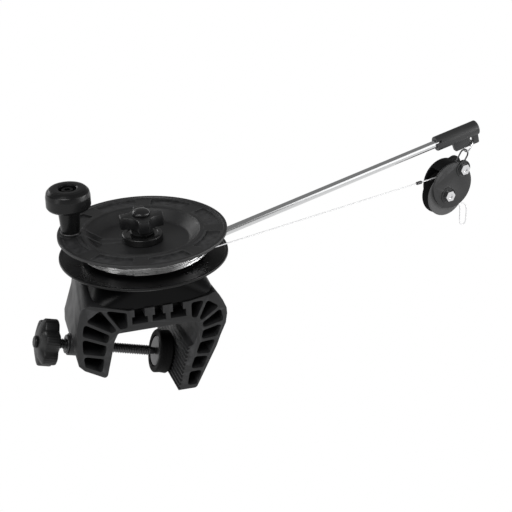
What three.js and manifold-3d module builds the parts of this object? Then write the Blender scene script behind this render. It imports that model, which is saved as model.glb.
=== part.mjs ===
// A manual downrigger for a small boat: a clamp for the gunwale, a flat spool of steel line with a crank
// knob and a star drag, and a thin boom whose hanging pulley lets the line down over the side.
// Millimetres, +Z up. The origin is the middle of the clamp's seat, which rests on the gunwale.
import * as THREE from 'three';
import { mergeVertices } from 'three/addons/utils/BufferGeometryUtils.js';
import Module from 'manifold-3d';

const wasm = await Module();
wasm.setup();

// Clearances shared by every joint and seat
const seatGap = 0.3;
const runningGap = 0.4;
const overrun = 2;
const degree = Math.PI / 180;

// Clamp frame
const clampWidth = 146;
const clampHeight = 104;
const clampDepth = 100;
const screwTilt = 15;
const ribThickness = 2.6;
const cellCorner = 3;
const pocketDepth = 34;
const seatThickness = 21.4;
const jawFootThickness = 16.6;
const rearNarrowing = 8.5;
const jawRidgeCount = 11;
const jawRidgeDepth = 1.2;
const slotWidth = 52;
const slotDepth = 14.5;
const slotLip = 2.6;
const slotLipHeight = 7;
const railHeadWidth = 9.4;
const railHeadHeight = 8;
const railStemWidth = 4.4;
const railSpacing = 17.4;

// Clamp screw, its nut, knob and pressure pad
const screwDiameter = 10;
const legBossDiameter = 21;
const legBossProud = 3.4;
const nutDiameter = 14;
const nutLength = 20;
const nutFlangeDiameter = 18;
const nutFlangeThickness = 2.2;
const padDiameter = 42;
const padThickness = 13;
const padGap = 1.3;
const padRecessDepth = 3.4;
const padPlateDiameter = 30;
const padPlateThickness = 3;
const screwTipDiameter = 7;
const screwTipLength = 5;
const clampKnobDiameter = 48;
const clampKnobLength = 14.4;
const clampKnobFlare = 3.4;
const clampKnobLobes = 6;
const clampKnobFlute = 4.6;
const clampKnobCollarDiameter = 20.6;
const clampKnobCollarLength = 3.3;
const clampKnobStandoff = 7.1;
const knobSocketDepth = 10;
const knobCapDiameter = 12.4;
const knobCapHeight = 2.6;

// Spool
const spoolDiameter = 160;
const spoolTop = 78.6;
const spoolSides = 40;
const upperRimThickness = 2.4;
const rimLipWidth = 3;
const rimLipHeight = 1.2;
const ringInnerDiameter = 116;
const ridgeWidth = 3.4;
const ridgeHeight = 0.9;
const dishFloorDiameter = 89;
const dishDepth = 10;
const dishWall = 3.8;
const ringPocketCount = 8;
const ringPocketDepth = 1;
const ringPocketWidth = 13;
const ringPocketSweepShare = 0.72;
const lowerFlangeTop = 54.5;
const lowerFlangeThickness = 2.6;
const lowerLipHeight = 0.8;
const lowerLipWidth = 2.4;
const drumDiameter = 92;
const drumWall = 3.5;
const hubDiameter = 26;
const hubFoot = 1.6;
const hubFootDiameter = 52;
const lineDiameter = 1.2;
const woundDiameter = 118;
const woundLoops = 9;
const woundGap = 0.6;

// Spindle, brake and drag stack
const spindleDiameter = 10;
const spindleHeadSize = 17;
const spindleHeadHeight = 6.4;
const bushingWall = 1.6;
const brakeDiscDiameter = 60;
const thrustWasherDiameter = 30;
const thrustWasherThickness = 1.6;
const dragCollarDiameter = 38.6;
const dragCollarHeight = 7;
const dragKnobDiameter = 41;
const dragKnobHeight = 12;
const dragKnobLobes = 4;
const dragLobeWidth = 10;
const dragWaistDiameter = 25;
const dragKnobTurn = -6;
const dragNeckDiameter = 23;
const dragNeckHeight = 6.4;
const dragInsertDiameter = 14;
const domeNutDiameter = 17;
const domeNutHeight = 5;

// Crank knob
const crankInset = 13.1;
const crankAngle = 165.1;
const crankPadDiameter = 25;
const crankCapDiameter = 42.4;
const crankCapHeight = 20;
const crankCapRoundingShare = 0.4;
const crankHeight = 44;
const crankStemFoot = 17.4;
const crankStemTop = 21;
const crankRecessDiameter = 17;
const crankRecessDepth = 6;
const crankBoltDiameter = 6;
const crankBoltHead = 11;
const crankBoltHeadHeight = 4;
const crankWasherDiameter = 19.5;
const crankWasherThickness = 1.5;
const crankNutSize = 10;
const crankNutHeight = 2.6;
const gussetThickness = 2.2;
const gussetSpacing = 13;
const gussetReach = 6.5;

// Reel base between the clamp and the spool
const baseLength = 126;
const baseWidth = 97;
const baseShift = -5;
const baseTopDiameter = 96;
const baseTop = 47.2;
const footLength = 68;
const footScrewDiameter = 5;
const footScrewHead = 9.4;
const footScrewHeadHeight = 3;
const footScrewSpacing = 48;

// Boom
const boomDiameter = 8;
const boomLength = 372;
const boomYaw = 10;
const boomRise = 9.7;
const boomOffset = 24.4;
const boomAxisHeight = 27.25;
const boomStart = 15;
const boomBossDiameter = 19;
const boomBossEnd = 80;
const boomBoltDiameter = 4;
const boomBoltHead = 7;
const boomBoltHeadHeight = 2.8;
const boomBoltAt = 72;

// Boom tip cap with its keel
const tipCapLength = 48.5;
const tipCapDiameter = 15;
const tipCapSplit = 2;
const tipCapSplitLength = 4.5;
const tipCapSplitTurn = -120;
const keelLength = 31;
const keelThickness = 4;
const keelDepth = 8.8;
const keelSlant = 3;
const keelHoleDiameter = 3.8;
const keelHoleLength = 7.2;
const keelBar = 2.2;
const keelHoleFromEnd = 8;

// Hanging pulley
const pulleyYaw = 17;
const linkLean = 35.8;
const ringWire = 1.6;
const keelRingLength = 14.2;
const keelRingWidth = 10;
const linkWire = 1.6;
const hangerLength = 29.2;
const plateDiameter = 47.9;
const plateThickness = 2;
const plateInnerGap = 13.5;
const plateRise = 9.3;
const plateShift = 5.5;
const earRadius = 8.8;
const topBoltForward = 19.1;
const topBoltRise = 24.2;
const sheaveDiameter = 45.4;
const sheaveGrooveDiameter = 36.5;
const sheaveThickness = 11.2;
const sheaveHubThickness = 12.7;
const sheaveHubDiameter = 17;
const sheaveBushWall = 1.4;
const pulleyBoltDiameter = 6;
const boltHeadSize = 10;
const boltHeadHeight = 4;
const boltDimpleDiameter = 5;
const boltDimpleDepth = 1;
const plateBossDiameter = 17.2;
const plateBossHeight = 0.9;
const plateBossWall = 1;
const pulleyNutHeight = 5;
const spacerDiameter = 8;
const guardWall = 1.8;
const guardStart = 72;
const guardSweep = 56;

// Line from the coil over the pulley
const lineStartHeight = 69.6;
const stopDiameter = 3.4;
const stopLength = 7.5;
const stopFromTouch = 31;
const loopWidth = 7.6;
const loopOffset = 6.5;
const loopDrop = 42.7;
const loopHeight = 28.5;
const loopCrimpLength = 7;
const loopCrimpWall = 0.7;

// Shared geometry tools
function closed(geometry) {
  const bare = geometry.clone();
  bare.deleteAttribute('normal');
  bare.deleteAttribute('uv');
  const merged = mergeVertices(bare, 1e-4);
  const points = merged.attributes.position.array;
  const faces = [];
  const index = merged.index.array;
  let volume = 0;
  for (let i = 0; i < index.length; i += 3) {
    const [a, b, c] = [index[i], index[i + 1], index[i + 2]];
    if (a === b || b === c || a === c) continue;
    faces.push(a, b, c);
    const [p, q, r] = [a, b, c].map((k) => new THREE.Vector3().fromArray(points, k * 3));
    volume += p.dot(q.cross(r));
  }
  if (volume < 0) faces.reverse();
  return { vertProperties: new Float32Array(points), triVerts: new Uint32Array(faces) };
}

function solid(geometry) {
  return new wasm.Manifold(new wasm.Mesh({ numProp: 3, ...closed(geometry) }));
}

function geometryOf(manifold) {
  const mesh = manifold.getMesh();
  const geometry = new THREE.BufferGeometry();
  geometry.setAttribute('position', new THREE.BufferAttribute(new Float32Array(mesh.vertProperties), 3));
  geometry.setIndex(new THREE.BufferAttribute(new Uint32Array(mesh.triVerts), 1));
  return geometry;
}

function turned(profile, sides = 28) {
  const points = profile.map(([radius, height]) => new THREE.Vector2(Math.max(radius, 0), height));
  return solid(new THREE.LatheGeometry(points, sides).rotateX(Math.PI / 2));
}

function disc(diameter, bottom, top, sides = 20) {
  return turned([[0, bottom], [diameter / 2, bottom], [diameter / 2, top], [0, top]], sides);
}

function hexagon(acrossFlats, bottom, top) {
  return disc(acrossFlats / Math.cos(30 * degree), bottom, top, 6);
}

function washer(outer, inner, bottom, top, sides = 20) {
  const [o, i] = [outer / 2, inner / 2];
  return turned([[i, bottom], [o, bottom], [o, top], [i, top], [i, bottom]], sides);
}

function block(x0, x1, y0, y1, z0, z1) {
  const box = new THREE.BoxGeometry(x1 - x0, y1 - y0, z1 - z0);
  return solid(box.translate((x0 + x1) / 2, (y0 + y1) / 2, (z0 + z1) / 2));
}

function outline(points) {
  return new THREE.Shape(points.map(([a, b]) => new THREE.Vector2(a, b)));
}

function upright(shape, bottom, top, curveSegments = 12) {
  const settings = { depth: top - bottom, bevelEnabled: false, curveSegments };
  return solid(new THREE.ExtrudeGeometry(shape, settings).translate(0, 0, bottom));
}

// An outline in X and Z, pushed along Y from one place to another
function across(shape, from, to, curveSegments = 2) {
  const settings = { depth: to - from, bevelEnabled: false, curveSegments };
  return solid(new THREE.ExtrudeGeometry(shape, settings).rotateX(Math.PI / 2).translate(0, to, 0));
}

function lofted(rings) {
  const sides = rings[0].length;
  const positions = rings.flat().flatMap((point) => point.toArray());
  const faces = [];
  for (let ring = 0; ring + 1 < rings.length; ring += 1) {
    for (let side = 0; side < sides; side += 1) {
      const a = ring * sides + side;
      const b = ring * sides + ((side + 1) % sides);
      faces.push(a, b, b + sides, a, b + sides, a + sides);
    }
  }
  for (let side = 1; side + 1 < sides; side += 1) {
    const last = (rings.length - 1) * sides;
    faces.push(0, side + 1, side, last, last + side, last + side + 1);
  }
  const geometry = new THREE.BufferGeometry();
  geometry.setAttribute('position', new THREE.BufferAttribute(new Float32Array(positions), 3));
  geometry.setIndex(faces);
  return solid(geometry);
}

// A round wire along an open curve
function wire(curve, diameter, steps, sides = 8) {
  const section = outline(ringPoints(diameter / 2, sides));
  const settings = { steps, extrudePath: curve, bevelEnabled: false };
  return solid(new THREE.ExtrudeGeometry(section, settings));
}

function ringPoint(radius, angle) {
  return [radius * Math.cos(angle * degree), radius * Math.sin(angle * degree)];
}

function ringPoints(radius, sides) {
  return Array.from({ length: sides }, (unused, i) => ringPoint(radius, (360 * i) / sides));
}

// A closed wire ring with two half-round ends, long way along X, lying in the XY plane
function oblongRing(length, width, diameter, sides = 6, arcSteps = 7) {
  const radius = (width - diameter) / 2;
  const reach = (length - diameter) / 2 - radius;
  const centres = [];
  for (const end of [0, 1]) {
    for (let i = 0; i <= arcSteps; i += 1) {
      const angle = Math.PI * (end + i / arcSteps) - Math.PI / 2;
      const side = end === 0 ? reach : -reach;
      centres.push([new THREE.Vector3(side + radius * Math.cos(angle), radius * Math.sin(angle), 0), angle]);
    }
  }
  const positions = [];
  for (const [centre, angle] of centres) {
    for (const [out, up] of ringPoints(diameter / 2, sides)) {
      positions.push(centre.x + out * Math.cos(angle), centre.y + out * Math.sin(angle), up);
    }
  }
  const faces = [];
  const count = centres.length;
  for (let ring = 0; ring < count; ring += 1) {
    for (let side = 0; side < sides; side += 1) {
      const [a, b] = [ring * sides + side, ring * sides + ((side + 1) % sides)];
      const next = (((ring + 1) % count) - ring) * sides;
      faces.push(a, b, b + next, a, b + next, a + next);
    }
  }
  const geometry = new THREE.BufferGeometry();
  geometry.setAttribute('position', new THREE.BufferAttribute(new Float32Array(positions), 3));
  geometry.setIndex(faces);
  return solid(geometry);
}

// Moves the sides of a convex outline inwards by the same distance
function inset(points, distance) {
  const count = points.length;
  const area = points.reduce((sum, [x, z], i) => {
    const [nextX, nextZ] = points[(i + 1) % count];
    return sum + x * nextZ - nextX * z;
  }, 0);
  const turn = Math.sign(area);
  const sides = points.map(([x, z], i) => {
    const [nextX, nextZ] = points[(i + 1) % count];
    const length = Math.hypot(nextX - x, nextZ - z);
    const normal = [(-turn * (nextZ - z)) / length, (turn * (nextX - x)) / length];
    return { normal, offset: normal[0] * x + normal[1] * z + distance };
  });
  return sides.map((side, i) => {
    const before = sides[(i + count - 1) % count];
    const cross = before.normal[0] * side.normal[1] - before.normal[1] * side.normal[0];
    return [
      (before.offset * side.normal[1] - side.offset * before.normal[1]) / cross,
      (before.normal[0] * side.offset - side.normal[0] * before.offset) / cross,
    ];
  });
}

function roundedOutline(points, radius) {
  const shape = new THREE.Shape();
  points.forEach(([x, z], i) => {
    const corner = new THREE.Vector2(x, z);
    const before = new THREE.Vector2(...points[(i + points.length - 1) % points.length]);
    const after = new THREE.Vector2(...points[(i + 1) % points.length]);
    const reachBefore = Math.min(radius, corner.distanceTo(before) / 2.1);
    const reachAfter = Math.min(radius, corner.distanceTo(after) / 2.1);
    const start = corner.clone().add(before.sub(corner).setLength(reachBefore));
    const end = corner.clone().add(after.sub(corner).setLength(reachAfter));
    if (i === 0) shape.moveTo(start.x, start.y);
    else shape.lineTo(start.x, start.y);
    shape.quadraticCurveTo(corner.x, corner.y, end.x, end.y);
  });
  shape.closePath();
  return shape;
}

// Materials
const finishes = {
  plastic: { color: 0x1d1e20, roughness: 0.5, metalness: 0 },
  glossyPlastic: { color: 0x121314, roughness: 0.25, metalness: 0 },
  rubber: { color: 0x161616, roughness: 0.85, metalness: 0 },
  steel: { color: 0xc9cbcd, roughness: 0.22, metalness: 1 },
  darkSteel: { color: 0x2c2d2f, roughness: 0.45, metalness: 0.8 },
  zinc: { color: 0xb9bcbe, roughness: 0.35, metalness: 0.9 },
  bronze: { color: 0x9a7b4f, roughness: 0.4, metalness: 0.9 },
  friction: { color: 0x5b4a3c, roughness: 0.9, metalness: 0 },
  line: { color: 0xa9abad, roughness: 0.4, metalness: 0.8 },
};

const downrigger = new THREE.Group();

function add(parent, name, finish, body) {
  const material = new THREE.MeshStandardMaterial(finishes[finish]);
  const mesh = new THREE.Mesh(geometryOf(body), material);
  mesh.name = name;
  parent.add(mesh);
  return mesh;
}

// Where the tilted screw crosses the left leg, and the plane of the fixed jaw
const screwHomeShares = [-0.452, -0.301];
const screwHome = [screwHomeShares[0] * clampWidth, screwHomeShares[1] * clampHeight];
const tiltSine = Math.sin(screwTilt * degree);
const tiltCosine = Math.cos(screwTilt * degree);

function jawPlane(height) {
  return screwHome[0] + (jawReach + (height - screwHome[1]) * tiltSine) / tiltCosine;
}

// Clamp frame outline: heights and widths as shares of the clamp's own size, from the middle of the seat
const jawHeightShares = [-0.674, -0.25];
const leftOutlineShares = [
  [-0.452, 0.317], [-0.507, 0.286], [-0.537, 0.111], [-0.548, -0.144], [-0.545, -0.262],
  [-0.507, -0.319], [-0.377, -0.423], [-0.36, -0.404], [-0.299, -0.066], [-0.274, 0],
];
const recessOutlineShares = [[0.214, -0.236], [0.245, -0.15], [0.252, -0.06], [0.237, -0.017], [0.2, 0]];
const rightOutlineShares = [
  [0.211, -0.676], [0.225, -0.664], [0.371, -0.277], [0.4, -0.175], [0.437, -0.067],
  [0.449, 0.026], [0.447, 0.085], [0.424, 0.167], [0.384, 0.273], [0.334, 0.237],
];
const leftRibShares = [
  [[-0.2, 0.196], [-0.2, 0.026]],
  [[-0.377, 0.272], [-0.265, 0.024]],
  [[-0.497, 0.166], [-0.318, 0]],
  [[-0.517, 0.02], [-0.342, -0.099]],
  [[-0.519, -0.157], [-0.364, -0.222]],
  [[-0.511, -0.288], [-0.388, -0.385]],
];
const rightRibShares = [
  [[0.206, 0.2], [0.204, 0.026]],
  [[0.318, 0.21], [0.254, 0.021]],
  [[0.416, 0.11], [0.274, -0.022]],
  [[0.433, -0.048], [0.276, -0.096]],
  [[0.38, -0.197], [0.255, -0.21]],
  [[0.325, -0.359], [0.214, -0.346]],
  [[0.279, -0.49], [0.173, -0.492]],
  [[0.23, -0.651], [0.148, -0.654]],
];

const clampPoint = ([x, z]) => [x * clampWidth, z * clampHeight];

// Length of the screw's axis from the leg to the fixed jaw
const jawFoot = [rightOutlineShares[0][0] * clampWidth - jawFootThickness, jawHeightShares[0] * clampHeight];
const jawReach = (jawFoot[0] - screwHome[0]) * tiltCosine - (jawFoot[1] - screwHome[1]) * tiltSine;

function jawFace() {
  const [bottom, top] = jawHeightShares.map((share) => share * clampHeight);
  const points = [];
  for (let i = 0; i < jawRidgeCount; i += 1) {
    const low = bottom + ((top - bottom) * i) / jawRidgeCount;
    const high = bottom + ((top - bottom) * (i + 0.5)) / jawRidgeCount;
    points.push([jawPlane(low), low], [jawPlane(high) + jawRidgeDepth, high]);
  }
  points.push([jawPlane(top), top]);
  return points;
}

function frameOutline() {
  const right = rightOutlineShares.map(clampPoint);
  const recess = recessOutlineShares.map(clampPoint);
  const left = leftOutlineShares.map(clampPoint).reverse();
  return outline([
    ...left, [-channelEdge, seatThickness], [channelEdge, seatThickness],
    ...right.reverse(), ...jawFace(), ...recess,
  ]);
}

function ribCells(ribs) {
  const cells = [];
  for (let i = 0; i + 1 < ribs.length; i += 1) {
    const [outer, inner] = ribs[i].map(clampPoint);
    const [nextOuter, nextInner] = ribs[i + 1].map(clampPoint);
    cells.push(roundedOutline(inset([outer, nextOuter, nextInner, inner], ribThickness / 2), cellCorner));
  }
  return cells;
}

// The channel in the top of the frame and the two T rails in it; gap draws the pieces that ride there
const slotFloor = seatThickness - slotDepth;

function slotOutline(gap, top) {
  const half = slotWidth / 2 - gap;
  const mouth = half - slotLip;
  const shoulder = seatThickness - slotLipHeight - gap;
  return outline([
    [-half, slotFloor + gap], [half, slotFloor + gap], [half, shoulder], [mouth, shoulder],
    [mouth, top], [-mouth, top], [-mouth, shoulder], [-half, shoulder],
  ]);
}

function railOutline(centre, gap, top) {
  const head = railHeadWidth / 2 + gap;
  const stem = railStemWidth / 2 + gap;
  const neck = seatThickness - railHeadHeight - gap;
  const bottom = slotFloor - gap;
  return outline([
    [centre - stem, bottom], [centre + stem, bottom], [centre + stem, neck], [centre + head, neck],
    [centre + head, top], [centre - head, top], [centre - head, neck], [centre - stem, neck],
  ]);
}

// Both legs get narrower towards the rear, while the channel between them stays straight
const channelEdge = slotWidth / 2 + slotLip;
const legWidth = -leftOutlineShares[3][0] * clampWidth - channelEdge;

function narrowing(y) {
  return 1 - (rearNarrowing / legWidth) * (y / clampDepth + 1 / 2);
}

function narrowed(body) {
  return body.warp((point) => {
    const beyond = Math.abs(point[0]) - channelEdge;
    if (beyond > 0) point[0] = Math.sign(point[0]) * (channelEdge + beyond * narrowing(point[1]));
  });
}

const railCentres = [-railSpacing / 2, railSpacing / 2];
const screwGroup = new THREE.Group();
screwGroup.position.set(screwHome[0], 0, screwHome[1]);
screwGroup.rotation.y = Math.PI / 2 + screwTilt * degree;

function alongScrew(body) {
  return body.rotate([0, 90 + screwTilt, 0]).translate([screwHome[0], 0, screwHome[1]]);
}

const legFace = (-channelEdge - legWidth * narrowing(0) - screwHome[0]) / tiltCosine;
const bossFace = legFace - legBossProud;
const nutStart = bossFace - seatGap - nutFlangeThickness;

function makeClampFrame() {
  const half = clampDepth / 2;
  let frame = across(frameOutline(), -half, half);
  for (const cell of [...ribCells(leftRibShares), ...ribCells(rightRibShares)]) {
    frame = frame.subtract(across(cell, -half - overrun, pocketDepth - half));
    frame = frame.subtract(across(cell, half - pocketDepth, half + overrun));
  }
  frame = narrowed(frame);
  frame = frame.subtract(across(slotOutline(0, seatThickness + overrun), -half - overrun, half + overrun));
  for (const centre of railCentres) {
    frame = frame.add(across(railOutline(centre, 0, seatThickness), -half, half));
  }
  frame = frame.add(alongScrew(disc(legBossDiameter, bossFace, 0)));
  const bore = disc(nutDiameter + 2 * seatGap, bossFace - overrun, bossFace + nutLength);
  const wayOut = disc(screwDiameter + 2 * runningGap, bossFace, jawReach / 2);
  frame = frame.subtract(alongScrew(bore.add(wayOut)));
  for (const side of [-1, 1]) {
    const screwHole = disc(footScrewDiameter + 2 * seatGap, -overrun, slotFloor + overrun);
    const sink = disc(footScrewHead + 2 * seatGap, -overrun, footScrewHeadHeight + seatGap + seatGap);
    frame = frame.subtract(screwHole.add(sink).translate([0, (side * footScrewSpacing) / 2, 0]));
  }
  return frame;
}

// Boom axis: a point beside the spindle, a direction, and a group whose Z runs along it
const boomDirection = new THREE.Vector3(
  Math.cos(boomRise * degree) * Math.cos(boomYaw * degree),
  Math.cos(boomRise * degree) * Math.sin(boomYaw * degree),
  Math.sin(boomRise * degree),
);
const boomSide = new THREE.Vector3(-Math.sin(boomYaw * degree), Math.cos(boomYaw * degree), 0);
const boomOrigin = boomSide.clone().multiplyScalar(boomOffset).setZ(boomAxisHeight);
const boomGroup = new THREE.Group();
boomGroup.position.copy(boomOrigin);
boomGroup.rotation.order = 'ZYX';
boomGroup.rotation.set(0, Math.PI / 2 - boomRise * degree, boomYaw * degree);
const boomEnd = boomStart + boomLength;

function alongBoom(body) {
  return body.rotate([0, 90 - boomRise, 0]).rotate([0, 0, boomYaw]).translate(boomOrigin.toArray());
}

function roundedSection(length, width, power, height, sides) {
  return Array.from({ length: sides }, (unused, i) => {
    const angle = (2 * Math.PI * i) / sides;
    const [c, s] = [Math.cos(angle), Math.sin(angle)];
    const x = (length / 2) * Math.sign(c) * Math.abs(c) ** power;
    const y = (width / 2) * Math.sign(s) * Math.abs(s) ** power;
    return new THREE.Vector3(x, y, height);
  });
}

const baseSides = 28;
const baseSectionShares = [[0, 0, 0.35], [0.4, 0.05, 0.4], [0.65, 0.3, 0.55], [0.85, 0.7, 0.8], [1, 1, 1]];

function makeReelBase() {
  const bottom = seatThickness + seatGap;
  const rings = baseSectionShares.map(([rise, blend, power]) => {
    const length = baseLength + (baseTopDiameter - baseLength) * blend;
    const width = baseWidth + (baseTopDiameter - baseWidth) * blend;
    const section = roundedSection(length, width, power, bottom + (baseTop - bottom) * rise, baseSides);
    return section.map((point) => point.setX(point.x + baseShift * (1 - blend)));
  });
  let base = lofted(rings);
  base = base.add(alongBoom(disc(boomBossDiameter, boomStart - overrun, boomBossEnd)));
  const half = clampDepth / 2;
  const raised = across(frameOutline(), -half - overrun, half + overrun).translate([0, 0, seatGap]);
  base = base.subtract(narrowed(raised));
  let foot = across(slotOutline(seatGap, bottom + overrun), -footLength / 2, footLength / 2);
  for (const centre of railCentres) {
    foot = foot.subtract(across(railOutline(centre, seatGap, seatThickness + seatGap), -half, half));
  }
  base = base.add(foot);
  base = base.subtract(alongBoom(disc(boomDiameter + 2 * seatGap, boomStart - seatGap, boomEnd)));
  base = base.subtract(disc(spindleDiameter + 2 * seatGap, slotFloor, baseTop + overrun));
  const pocketTop = bottom + seatGap + spindleHeadHeight + 2 * seatGap;
  base = base.subtract(hexagon(spindleHeadSize + 2 * seatGap, slotFloor, pocketTop));
  for (const side of [-1, 1]) {
    const hole = disc(footScrewDiameter + 2 * seatGap, slotFloor, baseTop - 3 * footScrewDiameter);
    base = base.subtract(hole.translate([0, (side * footScrewSpacing) / 2, 0]));
  }
  const crossHole = disc(boomBoltDiameter + 2 * seatGap, -boomBossDiameter, boomBossDiameter);
  const spot = disc(boomBoltHead + 4 * seatGap, boomBossDiameter / 2 - boomBoltHeadHeight, boomBossDiameter);
  const acrossBoom = crossHole.add(spot).add(spot.rotate([180, 0, 0])).rotate([90, 0, 0]);
  return base.subtract(alongBoom(acrossBoom.translate([0, 0, boomBoltAt])));
}

// Heights of the spool's parts on its own axis
const ringTop = spoolTop - rimLipHeight;
const ringBottom = spoolTop - rimLipHeight - upperRimThickness;
const dishFloor = ringTop - dishDepth + ridgeHeight;
const ridgeTop = ringTop + ridgeHeight;
const ridgeOuter = ringInnerDiameter / 2;
const ridgeInner = ridgeOuter - ridgeWidth;
const dishFoot = dishFloorDiameter / 2;
const dishEdge = ridgeInner - ridgeWidth / 2;
const crankRadius = spoolDiameter / 2 - crankInset;
const crankCentre = ringPoint(crankRadius, crankAngle);
const bushingOuter = spindleDiameter / 2 + seatGap + bushingWall;
const hubBore = bushingOuter + seatGap;
const flangeUnder = lowerFlangeTop - lowerFlangeThickness;

// Underside of the dished upper flange at a given radius
function dishUnder(radius) {
  const low = dishFloor - dishWall;
  if (radius <= dishFoot) return low;
  if (radius >= dishEdge) return ringBottom;
  return low + ((ringBottom - low) * (radius - dishFoot)) / (dishEdge - dishFoot);
}

function makeUpperFlange() {
  const rim = spoolDiameter / 2;
  let flange = turned([
    [hubBore, dishUnder(0)], [dishFoot, dishUnder(dishFoot)], [dishEdge, ringBottom],
    [rim - overrun, ringBottom],
    [rim, ringBottom + upperRimThickness / 2], [rim, spoolTop - rimLipHeight / 3],
    [rim - rimLipHeight / 3, spoolTop], [rim - rimLipWidth, spoolTop],
    [rim - rimLipWidth - rimLipHeight / 2, ringTop], [ridgeOuter, ringTop],
    [ridgeOuter - ridgeHeight, ridgeTop], [ridgeInner, ridgeTop], [dishEdge, ringTop],
    [dishFoot, dishFloor], [hubBore, dishFloor], [hubBore, dishUnder(0)],
  ], spoolSides);
  const middle = (ridgeOuter + rim - rimLipWidth) / 2;
  for (let i = 0; i < ringPocketCount; i += 1) {
    const sweep = (360 / ringPocketCount) * ringPocketSweepShare;
    const from = (crankAngle + (360 * (i + 0.5)) / ringPocketCount - sweep / 2) * degree;
    const pocket = new THREE.Shape();
    pocket.absarc(0, 0, middle + ringPocketWidth / 2, from, from + sweep * degree, false);
    pocket.absarc(0, 0, middle - ringPocketWidth / 2, from + sweep * degree, from, true);
    flange = flange.subtract(upright(pocket, ringTop - ringPocketDepth, ringTop + overrun, 6));
  }
  const pad = disc(crankPadDiameter, ringTop - upperRimThickness / 2, spoolTop, 36);
  const limit = disc(spoolDiameter, 0, spoolTop, spoolSides);
  flange = flange.add(pad.translate([...crankCentre, 0]).intersect(limit));
  const gussetStart = dishFoot - gussetReach;
  const gusset = across(outline([
    [gussetStart, dishFloor - overrun / 2], [gussetStart, dishFloor + ridgeHeight / 2],
    [ridgeInner, spoolTop], [ridgeOuter, spoolTop], [ridgeOuter, ringTop - overrun / 2],
    [dishEdge, ringTop - overrun / 2], [dishFoot, dishFloor - overrun / 2],
  ]), -gussetThickness / 2, gussetThickness / 2);
  for (const side of [-1, 1]) {
    const placed = gusset.translate([0, (side * gussetSpacing) / 2, 0]).rotate([0, 0, crankAngle]);
    flange = flange.add(placed);
  }
  const boltHole = disc(crankBoltDiameter + 2 * seatGap, 0, spoolTop + overrun, 24);
  return flange.subtract(boltHole.translate([...crankCentre, 0]));
}

function makeLowerFlange() {
  const rim = spoolDiameter / 2;
  const drum = drumDiameter / 2;
  const inner = drum - drumWall;
  const hub = hubDiameter / 2;
  return turned([
    [hubBore, flangeUnder - hubFoot], [hubFootDiameter / 2, flangeUnder - hubFoot],
    [hubFootDiameter / 2, flangeUnder], [rim - lowerLipWidth / 2, flangeUnder],
    [rim, flangeUnder + lowerFlangeThickness / 2],
    [rim, lowerFlangeTop + lowerLipHeight], [rim - lowerLipWidth, lowerFlangeTop + lowerLipHeight],
    [rim - lowerLipWidth - lowerLipHeight, lowerFlangeTop],
    [drum, lowerFlangeTop], [drum, dishUnder(inner) - seatGap], [inner, dishUnder(inner) - seatGap],
    [inner, lowerFlangeTop], [hub, lowerFlangeTop], [hub, dishUnder(0) - seatGap],
    [hubBore, dishUnder(0) - seatGap], [hubBore, flangeUnder - hubFoot],
  ], spoolSides);
}

// The line on the drum: buried turns as one plain core, the outer layer as one long wound wire
const woundPitch = lineDiameter + woundGap;
const woundRadius = woundDiameter / 2 - lineDiameter / 2;
const woundSteps = 20;
const coreRadius = woundRadius * Math.cos(Math.PI / woundSteps) - lineDiameter / 2 - seatGap;
const windingBottom = lowerFlangeTop + 2 * lineDiameter;

function makeWoundCore() {
  const inner = drumDiameter / 2 + seatGap;
  return turned([
    [inner, lowerFlangeTop + seatGap], [coreRadius, lowerFlangeTop + seatGap],
    [coreRadius, dishUnder(coreRadius) - seatGap - lineDiameter / 2],
    [dishEdge, dishUnder(dishEdge) - seatGap - lineDiameter], [inner, dishUnder(inner) - seatGap],
    [inner, lowerFlangeTop + seatGap],
  ], 36);
}

function makeWoundLine() {
  const sides = 5;
  const steps = woundLoops * woundSteps;
  const centres = [];
  for (let i = 0; i <= steps; i += 1) {
    const turn = i / woundSteps;
    const angle = 2 * Math.PI * turn;
    const height = windingBottom + woundPitch * turn;
    centres.push(new THREE.Vector3(woundRadius * Math.cos(angle), woundRadius * Math.sin(angle), height));
  }
  const first = centres[0].clone().sub(centres[1]).setLength(lineDiameter).add(centres[0]);
  const last = centres[steps].clone().sub(centres[steps - 1]).setLength(lineDiameter).add(centres[steps]);
  const path = [first, ...centres, last];
  const rings = path.map((centre, i) => {
    const tangent = path[Math.min(i + 1, path.length - 1)].clone().sub(path[Math.max(i - 1, 0)]).normalize();
    const outward = new THREE.Vector3(centre.x, centre.y, 0).normalize();
    outward.addScaledVector(tangent, -outward.dot(tangent)).normalize();
    const upward = new THREE.Vector3().crossVectors(tangent, outward);
    return ringPoints(lineDiameter / 2, sides).map(([out, up]) => {
      return centre.clone().addScaledVector(outward, out).addScaledVector(upward, up);
    });
  });
  let least = Infinity;
  for (let i = 0; i < path.length; i += 1) {
    for (let j = i + woundSteps / 2; j < path.length; j += 1) {
      least = Math.min(least, path[i].distanceTo(path[j]) - lineDiameter);
    }
  }
  console.log(`least gap of the wound line to itself: ${least.toFixed(2)} mm`);
  return lofted(rings);
}

// Spindle and the drag stack above the dish
const spindleBottom = seatThickness + 2 * seatGap;
const washerBottom = dishFloor + seatGap;
const collarTop = dishFloor + seatGap + dragCollarHeight;
const neckBottom = collarTop + seatGap;
const starBottom = neckBottom + dragNeckHeight;
const starTop = starBottom + dragKnobHeight;
const spindleTop = starTop - dragKnobHeight / 3;

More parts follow.
